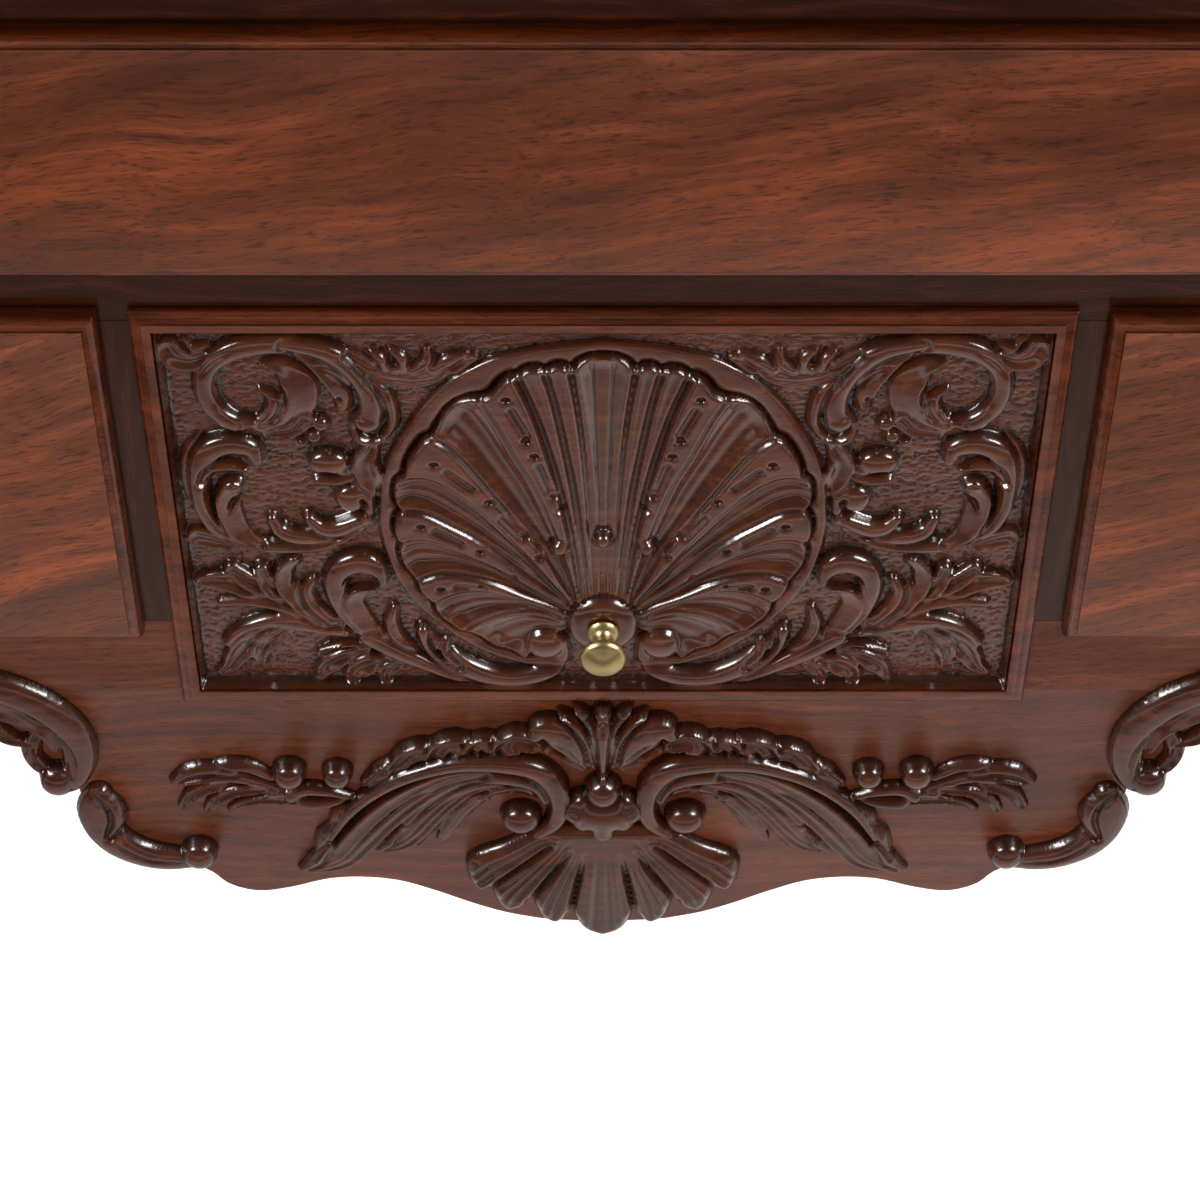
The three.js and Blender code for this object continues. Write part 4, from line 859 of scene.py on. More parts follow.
# Each row: place, half width and half height, and rise.
PANEL_BALLS = [
    ((-100, 547.3), (7.6, 5.6), 6.2), ((-92.4, 530.4), (6.4, 6.2), 6.2), ((-84.5, 567), (5.6, 4.6), 6.2),
    ((-101.3, 565.8), (3.3, 3.2), 4.6), ((-104, 560.2), (3.2, 3.0), 4.4), ((-108.4, 557.4), (2.4, 2.0), 3.6),
    ((-22, 456), (7.6, 7.4), 6.8), ((-135.6, 536.6), (4.4, 3.0), 5.4),
]
# Each row: the rise of the wood that is cut, half width, depth and line.
PANEL_CUTS = [
    (5.4, 2.0, 4.8, ((-124, 583.6), (-120, 586), (-116, 583.6), (-114, 579), (-114, 572.6))),
    (5.6, 1.1, 2.6, ((-94.4, 579), (-94, 576), (-95.6, 573.4))),
    (5.4, 0.8, 1.6, ((-100, 592.6), (-94, 586.6), (-90, 580.6), (-88.2, 572))),
    (5.8, 2.2, 5.0, ((-141, 548.6), (-136, 550.8), (-131, 550), (-126.6, 546.4))),
    (4.8, 1.4, 3.0, ((-132, 531.6), (-135.6, 529.6), (-138, 524))),
    (5.4, 0.8, 1.6, ((-144, 544), (-145.6, 534), (-144.2, 524), (-139, 514))),
    (3.8, 1.0, 2.6, ((-147.2, 604), (-146.4, 600.4), (-144.4, 597.6))),
    (5.0, 1.6, 3.6, ((-104.6, 542), (-101, 543.8), (-97.4, 543))),
    (5.0, 1.1, 3.0, ((-89.4, 532.4), (-87.6, 529), (-89, 525.4))),
    (5.2, 1.7, 4.4, ((-109.6, 497.6), (-113.6, 494), (-116, 490), (-117.2, 486))),
    (5.8, 2.0, 5.2, ((-98.4, 487.6), (-95, 491.8), (-90, 493.6), (-86, 491), (-84.4, 485.6))),
    (4.6, 0.6, 1.0, ((-150, 489.4), (-140, 488), (-130, 482.4), (-120, 475))),
    (4.4, 0.6, 1.0, ((-139, 494), (-131, 487), (-122, 479))),
    (4.4, 0.6, 1.0, ((-128, 494), (-124, 485), (-116, 476))),
    (4.6, 0.6, 1.0, ((-140, 459), (-134, 462.6), (-126, 465))),
    (4.4, 0.6, 1.0, ((-146, 443), (-140, 451), (-134, 458), (-124, 463))),
    (4.2, 0.6, 1.0, ((-132.6, 449), (-130.6, 455), (-124, 460.6))),
    (4.2, 0.5, 0.9, ((-109.6, 442), (-104, 447), (-94, 452))),
    (4.2, 0.5, 0.9, ((-96.8, 438), (-94, 443), (-86, 447.4))),
    (5.4, 1.1, 4.2, ((-66.6, 464.4), (-66.6, 458), (-64.4, 452), (-60.6, 447))),
    (4.6, 0.6, 1.0, ((-80.6, 472), (-80.8, 465), (-77, 456))),
    (5.2, 0.6, 0.9, ((-118, 520), (-113, 515.6), (-106, 514.6))),
    (5.0, 0.7, 1.2, ((-130, 600.6), (-138, 594.6), (-143.6, 587))),
]

LEAF_SPREAD = 1.22
for section, rises, widths, line, moat in PANEL_STROKES:
    wider = LEAF_SPREAD if section == "leaf" else 1
    stroke(panel, section, rises, [wider * width for width in widths], line, moat)
for row in PANEL_BALLS:
    ball(panel, *row)
for row in PANEL_CUTS:
    cut(panel, *row)
print("panel strokes", len(PANEL_STROKES), "highest", round(float(panel["h"].max()), 2), "mm")

# %% [markdown]
# ### The shell
# Its ridges fan out from the boss in curves, so a flute can't be turned or repeated. Each ridge is drawn as
# a line. Between two ridges, the share of the way across gives the flute's hollow or the band's crown.

# %% Shell inside its ring
SHELL_RISE = (3.4, 5.6)
SHELL_READ_AT = 3.2
BOSS_Z, BOSS_RADIUS, HUB = 466.4, 14.2, 13
BEAD_RADIUS, BEAD_RISE, BEAD_MOAT = 3.4, 7.6, 1.3
RING_MOAT = 1.3
SHELL_RIDGES = [
    ((-3.2, 482), (-4.4, 511), (-5.2, 530), (-6.6, 550), (-8.6, 570), (-11.4, 591)),
    ((-5.6, 482), (-8.4, 510), (-11, 535), (-14, 555), (-17.4, 575), (-21, 590.6)),
    ((-8.2, 482), (-11.6, 510), (-16, 535), (-20.4, 555), (-25, 572), (-31, 588.6)),
    ((-10.4, 481), (-16.6, 508), (-24.6, 535), (-31.8, 551), (-38, 566), (-44, 578)),
    ((-12, 480), (-22, 504), (-29.5, 515.6), (-38.6, 530), (-48, 545), (-55, 554.6), (-62.6, 561)),
    ((-13.2, 479), (-28, 502), (-34.6, 511), (-42.6, 522), (-50.6, 531), (-58.4, 538), (-66, 541.4), (-73.6, 541)),
    ((-14.2, 477.6), (-28, 492.6), (-38, 503), (-48, 512), (-58, 519), (-66, 524), (-75, 525.6)),
    ((-15, 476), (-28, 487), (-38, 495), (-50, 503.6), (-60, 509), (-68, 511.4), (-76, 510)),
    ((-15.6, 474), (-30, 483.4), (-40, 489), (-50, 492.6), (-60, 494), (-70.6, 490.6)),
    ((-16, 471.6), (-24, 476.6), (-33, 481), (-40, 484), (-50, 485), (-58, 483), (-65, 479)),
    ((-16, 469), (-22, 472.4), (-28, 474), (-36, 473.4), (-45, 470), (-54.6, 464)),
    ((-15, 463), (-20, 461), (-24, 457), (-28, 452), (-31, 448)),
]
SHELL_RIM = [
    (0, 596.6), (-5, 596), (-9, 593.6), (-11.2, 590.8), (-13.4, 592.2), (-17, 592.6), (-20.6, 590.4),
    (-23, 591.4), (-27, 591), (-30.8, 588.2), (-33.6, 588), (-37, 585), (-39.6, 581), (-43.4, 578.6), (-47, 578),
    (-52, 575.8), (-56.4, 571.4), (-59.6, 565.6), (-62, 560.8), (-65.2, 559), (-68.6, 554), (-71.4, 548),
    (-73, 541.6), (-75.8, 539), (-77, 533), (-76.6, 528), (-74.8, 525.4), (-76.6, 522), (-77.6, 516),
    (-76.8, 511.4), (-75.2, 509.4), (-76.4, 505), (-75.4, 498), (-73, 493.6), (-70.4, 490.2), (-69.8, 487),
    (-67.4, 482.6), (-64.6, 479.2), (-64.2, 475), (-61.8, 470), (-58.4, 466.6), (-54.6, 464), (-52, 463.4),
    (-48, 460.8), (-44, 456.6), (-40, 454.2), (-35, 452.6), (-30.5, 449.6), (-22, 450), (12, 452), (12, 596.6),
]
RING_RISE = 2.9
RING_EDGE = [
    (12, 602), (0, 602), (-20, 600), (-30, 597.5), (-40, 594.5), (-50, 588.5), (-58, 582), (-65, 573.5),
    (-70, 565), (-75, 556), (-79, 547), (-81.6, 535), (-82.8, 525), (-83, 515), (-81.6, 503), (-77.4, 488),
    (-70, 474.6), (-60, 463), (-50, 454), (-40, 448.5), (-33, 445.6), (-24, 444), (12, 444),
]
FLUTES = (0, 4, 6, 8, 10, 11)
BANDS = (3, 5, 7, 9)
BEADS = ((0, 511), (-16.2, 507))
DOTS = (
    (-34.7, 577.7), (-28, 558.5), (-25, 551.5), (-18.3, 532), (-16, 525), (-61.5, 547.5), (-42, 529.5),
    (-29.5, 512), (-67.5, 517.5), (-46, 505), (-61.3, 486), (-45.4, 486.2), (-34, 492), (-24, 502),
)
BARS = (
    ((-33, 573), (-27.5, 561)), ((-23.5, 547), (-19.5, 535)), ((-57, 544), (-48, 535.5)),
    ((-37, 522), (-31, 514)), ((-62.5, 515.5), (-53, 509)), ((-55.5, 487), (-47, 487)),
)

rim = area(panel, smooth_line(seen(panel, SHELL_RIM, SHELL_READ_AT), 1.2))

# Which lobe each place lies in, how far it is from the ridges beside it, and the share of the way across.
rings, beyond = [], np.zeros_like(panel["h"])
for ridge in SHELL_RIDGES:
    distance, side, _ = trace(panel, smooth_line(seen(panel, ridge, SHELL_READ_AT), 3.0), 400)
    rings.append(distance)
    beyond += side > 0
lobe = beyond.astype(int)
stack = np.stack([np.abs(panel["x"])] + rings + [np.full_like(panel["h"], 30.0)])
here = np.take_along_axis(stack, lobe[None], 0)[0]
there = np.take_along_axis(stack, lobe[None] + 1, 0)[0]
across = here / np.maximum(here + there, 1e-3)
centre = lobe == 0
across = np.where(centre, 0.5 + across / 2, across)
edge_gap = np.where(centre, there, np.minimum(here, there))

# Flutes are hollow with fine reeds in them, bands are rounded, and both rise from the boss to the rim.
hub = np.hypot(panel["x"], panel["z"] - BOSS_Z)
outward = np.clip((hub - HUB) / np.maximum(hub - HUB + np.maximum(rim, 0), 1e-3), 0, 1)
crown = SHELL_RISE[0] + (SHELL_RISE[1] - SHELL_RISE[0]) * outward
closing = np.clip(rim / 6, 0, 1) ** 0.5
arch = np.sin(np.pi * across)
reed = np.cos(2 * np.pi * across * 3) * arch
hollow = (0.6 + 4.0 * outward) * arch ** 0.7 * closing + 0.45 * outward * closing * reed
step = 0.25 + 0.75 * np.clip((edge_gap - 0.9) / 0.5, 0, 1)
band = 0.55 * arch + 0.3 - 0.3 * np.clip(1 - edge_gap / 1.6, 0, 1)

# The middle flute has a low stem between two gouge cuts.
middle = np.abs(across - 0.5) * 2
middle_flute = np.interp(middle, (0, 0.26, 0.31, 0.36, 0.42, 0.6, 0.78, 0.86, 0.94, 1),
                         (2.2, 2.3, 3.4, 3.4, 2.6, 1.9, 0.9, -0.5, -0.6, 0))
is_flute, is_band = np.isin(lobe, FLUTES), np.isin(lobe, BANDS)
surface = crown - np.where(is_flute, hollow, np.where(is_band, -band * step, (0.3 + 0.6 * outward) * arch * closing))
surface = np.where(centre, crown - (0.3 + 0.9 * outward) * closing * middle_flute, surface)

# A valley parts the lobes, wider near the middle, and the rim is rounded over.
nearest = lobe - ((here < there) & ~centre)
wide_valley = nearest < 3
valley_width = np.where(wide_valley, 0.7 + 1.3 * outward, 0.7)
valley_depth = np.where(wide_valley, 0.8 + 2.6 * outward, 0.6 + 1.8 * outward)
surface -= valley_depth * np.clip(1 - edge_gap / valley_width, 0, 1) ** 0.8 * np.clip(rim / 2.5, 0, 1)
surface += 0.4 * np.exp(-((edge_gap - valley_width - 0.8) / 0.5) ** 2) * outward
surface -= 1.8 * np.clip(1 - rim / 1.3, 0, 1) ** 2
shell_here = np.clip(rim / WALL + 0.5, 0, 1) * (lobe < len(SHELL_RIDGES))

# The ring stands round the rim, with a groove outside it. The shell is laid over both.
ring = area(panel, smooth_line(seen(panel, RING_EDGE, RING_RISE), 1.2))
ring_top = RING_RISE - 0.9 * np.clip(1 - ring / 1.6, 0, 1) ** 2 - 0.5 * np.clip(1 + (rim + 1.2) / 2.5, 0, 1)
ring_wall = np.clip(ring / WALL + 0.5, 0, 1) * np.clip(-(rim + 0.5) / 0.8, 0, 1)
panel["h"] = np.where(ring > -2, panel["h"] - RING_MOAT * np.clip(1 + ring / 2, 0, 1) ** 0.7, panel["h"])
panel["h"] = panel["h"] * (1 - ring_wall) + ring_top * ring_wall
panel["h"] = np.where(shell_here > 0, panel["h"] * (1 - shell_here) + surface * shell_here, panel["h"])

# Beads, drilled dots and short bars.
for place in BEADS:
    (bead_x, bead_z), = seen(panel, [place], BEAD_RISE * SHOWN)
    beside = np.hypot(panel["x"] - bead_x, panel["z"] - bead_z) - BEAD_RADIUS - 0.2
    panel["h"] -= BEAD_MOAT * np.clip(1 - np.abs(beside) / BEAD_MOAT, 0, 1)
    ball(panel, place, (BEAD_RADIUS, BEAD_RADIUS), BEAD_RISE)
for x, z in DOTS:
    slot(panel, 1.35, 2.2, [(x - 0.3, z), (x + 0.3, z)])
for bar in BARS:
    slot(panel, 1.6, 1.7, bar)

# The boss under the knob, a groove round it and the last ball beside it.
boss = 7.0 * np.sqrt(np.clip(1 - (hub / BOSS_RADIUS) ** 6, 0, 1)) - 0.5 * np.clip(1 - hub / 9, 0, 1)
round_boss = 1.2 * np.clip(1 - (hub - BOSS_RADIUS) / 1.4, 0, 1) * (hub < 16)
panel["h"] = np.where(hub < BOSS_RADIUS, np.maximum(boss, 0.5), panel["h"] - round_boss)
ball(panel, (-22, 456), (7.6, 7.4), 6.8)
print("shell: lobes", len(SHELL_RIDGES), "share of the half panel", round(float((shell_here > 0.5).mean()), 3))

# %% [markdown]
# ### Punched ground and coved edge
# The ground is matted with a punch and short gouge cuts, which hides the tool marks of clearing it.
# The random places come from a fixed seed, so that every run gives the same panel.

# %% Ground and cove
COVE = 3.5
luck = np.random.default_rng(7)
ground_left = np.clip(1 - panel["h"] / 0.5, 0, 1)


def punched(shape, share, size, depth):
    """Small pits at random places: single points that a small kernel spreads."""
    pits = np.where(luck.random(shape) < share, luck.random(shape), 0)
    out = np.zeros(shape)
    reach = int(np.ceil(max(size)))
    for dz in range(-reach, reach + 1):
        for dx in range(-reach, reach + 1):
            fall = 1 - (dx / size[0]) ** 2 - (dz / size[1]) ** 2
            if fall > 0:
                out = np.maximum(out, np.roll(np.roll(pits, dz, 0), dx, 1) * fall)
    return out * depth


cove_gap = np.minimum(panel["x"] - PANEL_X[0], np.minimum(panel["z"] - PANEL_Z[0], PANEL_Z[1] - panel["z"]))
cove = FACE_RISE * (1 - np.sqrt(np.clip(1 - (1 - np.clip(cove_gap / COVE, 0, 1)) ** 2, 0, 1)))
matting = punched(panel["h"].shape, 0.05, (3.2, 1.3), 0.55) + punched(panel["h"].shape, 0.06, (1.5, 1.5), 0.5)
low_strip = np.clip((452 - panel["z"]) / 16, 0, 1)
matting *= 1 + 0.5 * low_strip
panel["h"] = soften(np.maximum(panel["h"], cove)) - matting * ground_left * np.clip(1 - cove / 1.5, 0, 1)
print("matting depth", round(float(matting.max()), 2), "mm")

# %% [markdown]
# ### From heights to wood
# The grid primitive is added at the panel's size, its points take the carved heights, and its border is
# drawn back and closed, so that each carving is one solid block. The panel is cut in three, since one mesh
# of this fineness would be too heavy.

# %% Carved pieces
def without_diagonals(keep):
    """Squares that touch only at a corner would pinch the wood, so the room beside them is kept as well."""
    for _ in range(4):
        a, b, c, d = keep[:-1, :-1], keep[:-1, 1:], keep[1:, :-1], keep[1:, 1:]
        pinched = (a & d & ~b & ~c) | (b & c & ~a & ~d)
        for part in (a, b, c, d):
            part |= pinched
    return keep


def without_holes(keep):
    """Room that can't be reached from the border counts as wood, so that a piece has one outline."""
    outside = np.zeros_like(keep)
    outside[0], outside[-1], outside[:, 0], outside[:, -1] = ~keep[0], ~keep[-1], ~keep[:, 0], ~keep[:, -1]
    while True:
        wide = outside.copy()
        wide[1:] |= outside[:-1]
        wide[:-1] |= outside[1:]
        wide[:, 1:] |= outside[:, :-1]
        wide[:, :-1] |= outside[:, 1:]
        wide &= ~keep
        if (wide == outside).all():
            return ~outside
        outside = wide


def heights_to_piece(name, x, z, h, front_y, back_y, body, nodes, squares=None, glaze_and_shade=None, finish=carved_mahogany):
    rows, columns = h.shape
    deselect()
    bpy.ops.mesh.primitive_grid_add(x_subdivisions=columns - 1, y_subdivisions=rows - 1, size=1)
    piece = bpy.context.object
    points = np.stack([x * MM, (front_y - h) * MM, z * MM], axis=-1).reshape(-1, 3)
    piece.data.vertices.foreach_set("co", points.ravel())
    # The glaze attribute holds dark glaze and painted shade for the carving's hollows.
    shade = piece.data.attributes.new("glaze_and_shade", "FLOAT", "POINT")
    shade.data.foreach_set("value", (glaze_and_shade_of(h) if glaze_and_shade is None else glaze_and_shade).ravel().astype(np.float32))
    if squares is not None:
        pick(piece, ~squares.ravel())
        bpy.ops.mesh.delete(type="FACE")
        bpy.ops.object.mode_set(mode="OBJECT")
    bpy.ops.object.mode_set(mode="EDIT")
    bpy.ops.mesh.select_mode(type="EDGE")
    bpy.ops.mesh.select_all(action="DESELECT")
    bpy.ops.mesh.select_non_manifold()
    bpy.ops.mesh.extrude_edges_move(TRANSFORM_OT_translate={"value": (0, 0.001, 0)})
    bpy.ops.object.mode_set(mode="OBJECT")
    count = len(piece.data.vertices)
    chosen = np.zeros(count, bool)
    piece.data.vertices.foreach_get("select", chosen)
    places = np.zeros(count * 3)
    piece.data.vertices.foreach_get("co", places)
    places = places.reshape(-1, 3)
    places[chosen, 1] = back_y * MM
    piece.data.vertices.foreach_set("co", places.ravel())
    bpy.ops.object.mode_set(mode="EDIT")
    bpy.ops.mesh.select_all(action="DESELECT")
    bpy.ops.mesh.select_non_manifold()
    bpy.ops.mesh.fill_holes(sides=0)
    finish_outwards()
    return settle(piece, name, finish, body, nodes, smooth=62)


def leaf_piece(name, field, node, sides=(-1,), level=-0.45):
    """Carving that stands free on a board: the grid is cut along the outline and its border drawn onto it."""
    corners = without_holes(field["edge"] > level)
    squares = without_diagonals(corners[:-1, :-1] & corners[:-1, 1:] & corners[1:, :-1] & corners[1:, 1:])
    used = np.zeros(corners.shape, int)
    for rows in (slice(None, -1), slice(1, None)):
        for columns in (slice(None, -1), slice(1, None)):
            used[rows, columns] += squares
    border = (used > 0) & (used < 4)
    slope_z, slope_x = np.gradient(field["edge"], CELL)
    steep = np.maximum(slope_x ** 2 + slope_z ** 2, 0.3)
    reach = np.clip((level - field["edge"]) / steep, -0.6 * CELL, 0.6 * CELL) * border
    x, z = field["x"] + reach * slope_x, field["z"] + reach * slope_z
    glaze_and_shade = glaze_and_shade_of(field["h"])
    for side in sides:
        order = slice(None) if side < 0 else slice(None, None, -1)
        prefix = "" if len(sides) == 1 else "left_" if side < 0 else "right_"
        heights_to_piece(prefix + name, (-x if side > 0 else x)[:, order], z[:, order], field["h"][:, order],
                         APRON_FACE_Y, APRON_BACK_Y, "case", [prefix + node], squares=squares[:, order],
                         glaze_and_shade=glaze_and_shade[:, order], finish=dark_carved_mahogany)


GROUND_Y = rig.box("carved_shell")[1].y / MM + 0.3
PANEL_FLOOR_Y = GROUND_Y + 0.6


def both_halves(field):
    """The drawing is mirrored at the middle."""
    return {"x": np.hstack([field["x"], -field["x"][:, -2::-1]]),
            **{key: np.hstack([field[key], field[key][:, -2::-1]]) for key in ("z", "h", "edge")}}


whole = both_halves(panel)
# Dark glaze and painted shade for the whole panel.
whole_glaze_and_shade = glaze_and_shade_of(whole["h"])
SPLIT_X = 84.15
column_x = whole["x"][0]
for name, node, low, high in (("left_panel_carving", "left_shell_drawer_leafage", -200, -SPLIT_X),
                              ("shell_panel_carving", "carved_shell", -SPLIT_X, SPLIT_X),
                              ("right_panel_carving", "right_shell_drawer_leafage", SPLIT_X, 200)):
    inside = np.flatnonzero((column_x > low - CELL) & (column_x <= high))
    part = slice(inside[0], inside[-1] + 1)
    heights_to_piece(name, whole["x"][:, part], whole["z"][:, part], whole["h"][:, part], GROUND_Y, PANEL_FLOOR_Y,
                     "shell_drawer", [node], glaze_and_shade=whole_glaze_and_shade[:, part])

# %% [markdown]
# ## The apron
# The board is sawn to a scrolled outline with smooth curves, and its arris is eased with sandpaper.
# The carving on it is glued on: a small shell that hangs over the edge, a cartouche with a palmette,
# sprays of leaves to each side, and a scroll that follows the outline up to each knee.

# %% Apron board
APRON_FACE_Y = CASE_FRONT / MM + 0.1
APRON_BACK_Y = APRON_FACE_Y + 0.4
CARVING_LIMIT = 11.9
APRON_EDGE = [
    (0, 289), (22, 290.4), (32, 292.4), (43, 295.6), (56, 301.4), (70, 308.7), (85, 315.2), (100, 317.6),
    (115, 316.6), (130, 311.7), (142, 309), (150, 309.8), (158, 313.8), (164, 321), (172, 325.4), (182, 326),
    (192, 327.6), (204, 334.3), (211, 346.2), (213, 361.2), (213.5, 373), (218, 382), (223, 391), (231, 402.3),
    (245, 415.2), (270, 425.4), (295, 426.6), (320, 417.2), (342, 399.2), (364.7, 385.2),
]
OPENING_FOOT = 469.1
APRON_TOP = [(364.7, OPENING_FOOT), (181.8, OPENING_FOOT), (181.8, 466.1), (159.2, 466.1), (159.2, 431.4)]


def sawn_board(outline, front_y, back_y):
    """A board that is sawn to an outline: a round of as many points takes the outline, and is given its thickness."""
    deselect()
    bpy.ops.mesh.primitive_circle_add(vertices=len(outline), radius=1, fill_type="NGON")
    board = bpy.context.object
    places = np.array([(x * MM, front_y * MM, z * MM) for x, z in outline])
    board.data.vertices.foreach_set("co", places.ravel())
    edit_whole()
    bpy.ops.mesh.extrude_region_move(TRANSFORM_OT_translate={"value": (0, (back_y - front_y) * MM, 0)})
    finish_outwards()
    return board


apron_half = [tuple(p) for p in smooth_line(APRON_EDGE, 3.0)] + APRON_TOP
apron_outline = apron_half + [(-x, z) for x, z in reversed(apron_half[1:])]
apron = sawn_board(apron_outline, CASE_FRONT / MM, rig.box("front_apron")[1].y / MM)
ease_edges(apron, 0.7)
settle(apron, "apron_board", rail_mahogany, "case", ["front_apron"], smooth=30)

# %% Small shell of the apron
apron_shell = make_field((-57, 0), (280, 360), 5.0)
SMALL_RIM = [
    (12, 352), (-18, 352), (-28, 350.6), (-40, 343), (-52, 337), (-56.4, 332), (-57, 325.6), (-55.4, 318),
    (-51, 314.4), (-47.8, 315.6), (-46.6, 314), (-45.6, 309), (-43.6, 304), (-40, 300.8), (-36, 302),
    (-32, 305.8), (-30.4, 308.6), (-29, 305), (-27, 298.6), (-24, 294.4), (-20, 293.2), (-16.6, 295.8),
    (-13.8, 299.4), (-11.6, 296.6), (-9.6, 291.6), (-6, 287), (0, 285.2), (12, 285.2),
]
SMALL_VALLEYS = (((-7.4, 337.4), (-13.6, 298)), ((-13.8, 339), (-30.4, 307.6)), ((-22, 342.6), (-48.4, 314.4)))
SMALL_RISE = 7.6
SMALL_READ_AT = SMALL_RISE * 0.7
SMALL_HUB_Z = 350

rim = area(apron_shell, smooth_line(seen(apron_shell, SMALL_RIM, SMALL_READ_AT), 0.8))
passed = np.zeros(rim.shape, int)
valleys = [np.abs(apron_shell["x"])]
for ends in SMALL_VALLEYS:
    distance, side, _ = trace(apron_shell, np.array(seen(apron_shell, ends, SMALL_READ_AT)), 200)
    valleys.append(distance)
    passed += side < 0
top_edge, _, _ = trace(apron_shell, smooth_line(seen(apron_shell, SMALL_RIM[1:6], SMALL_READ_AT)), 200)
valleys.append(top_edge)
valleys = np.stack(valleys)
here = np.take_along_axis(valleys, passed[None], 0)[0]
there = np.take_along_axis(valleys, passed[None] + 1, 0)[0]
across = here / np.maximum(here + there, 1e-3)
across = np.where(passed == 0, 0.5 + across / 2, across)
groove = valleys[1:4].min(axis=0)
reach = np.hypot(apron_shell["x"], apron_shell["z"] - SMALL_HUB_Z)
fan = np.clip((reach - 12) / 16, 0, 1)
surface = SMALL_RISE - 1.6 * (1 - fan) - 1.0 * np.sin(np.pi * across) ** 2 * fan
surface += 0.62 * np.cos(2 * np.pi * across * 4) * fan * np.clip(rim / 5, 0, 1)
surface -= (1.0 + 4.2 * fan) * np.exp(-(groove / 1.25) ** 1.6) * fan ** 0.5
surface -= 4.4 * np.clip(1 - rim / 4.4, 0, 1) ** 2
apron_shell["h"] = np.clip(surface, 0, 8.1) * np.clip(rim / WALL + 0.5, 0, 1)
apron_shell["edge"] = rim
leaf_piece("apron_shell_carving", both_halves(apron_shell), "apron_shell", level=-0.2)

# %% Cartouche and palmette
cartouche = make_field((-30, 0), (338, 426), 5.0)
PALMETTE = [
    ("leaf", (3, 5, 5), (1.6, 2.8, 2.2), ((-8, 388), (-15, 396.6), (-22, 400.6)), 0.4),
    ("round", (5, 7, 8.4, 9, 8), (2.2, 4.4, 6.4, 7.6, 6.6, 3.4),
     ((-6.4, 389), (-9.6, 397), (-14, 404.6), (-19.4, 410.4), (-24, 412), (-27, 408.8)), 0),
    ("blade", (6, 7.6, 8.8, 8.4), (1.8, 2.2, 2.4, 2.6, 1.4),
     ((-3.8, 390), (-5.2, 402), (-8.4, 411), (-12.4, 416.6), (-16.6, 419.6)), 1.4),
    ("blade", (7, 8.6, 9.6, 9), (1.6, 2.2, 2.6, 2.4, 1.2),
     ((-1.8, 392), (-2.8, 405), (-4.4, 413.6), (-7.2, 419), (-10.6, 422.6)), 1.4),
    ("round", (7.4, 9, 9.8), (2.0, 2.8, 3.4, 3.6), ((0, 389), (0, 400), (0, 411), (0, 420)), 0.9),
]
for row in PALMETTE:
    stroke(cartouche, *row)
for row in (
    (9.4, 2.1, 3.0, ((0, 420.6), (0, 415), (0, 410.6))),
    (8, 1.4, 5.5, ((-29, 401), (-24, 402.6), (-19, 399.6), (-14.6, 395))),
    (7.6, 0.8, 2.0, ((-9, 393), (-14, 402), (-20, 408.6))),
):
    cut(cartouche, *row)
BODY_EDGE = [
    (12, 368), (-3, 367.6), (-8, 371), (-12.6, 369), (-16.2, 363.6), (-17, 359), (-14.4, 356), (-12.2, 352.4),
    (-9, 350), (-5.6, 350.4), (-4.6, 346.6), (-1.6, 344), (1.6, 344), (12, 344),
]
body_gap = area(cartouche, smooth_line(seen(cartouche, BODY_EDGE, 8), 0.8))
body_dome = 4.4 + 6.2 * np.sqrt(np.clip(1 - (1 - np.clip(body_gap / 9.5, 0, 1)) ** 2, 0, 1))
inside = np.clip(body_gap / WALL + 0.5, 0, 1)
cartouche["h"] = np.where(inside > 0, np.maximum(cartouche["h"], 0) * (1 - inside) + body_dome * inside,
                          cartouche["h"])
cartouche["edge"] = np.maximum(cartouche["edge"], body_gap)
ball(cartouche, (-10.4, 363.6), (5.8, 5.4), 10.8)
ball(cartouche, (0, 383.6), (2.4, 3.6), 8.4)
ball(cartouche, (0, 375.2), (7.4, 7.0), 11.8)
cartouche["h"] = np.clip(soften(cartouche["h"]), 0, CARVING_LIMIT)
leaf_piece("cartouche_carving", both_halves(cartouche), "apron_cartouche")

# %% Leafage beside the cartouche
leafage = make_field((-178, -14), (322, 416), 5.0)
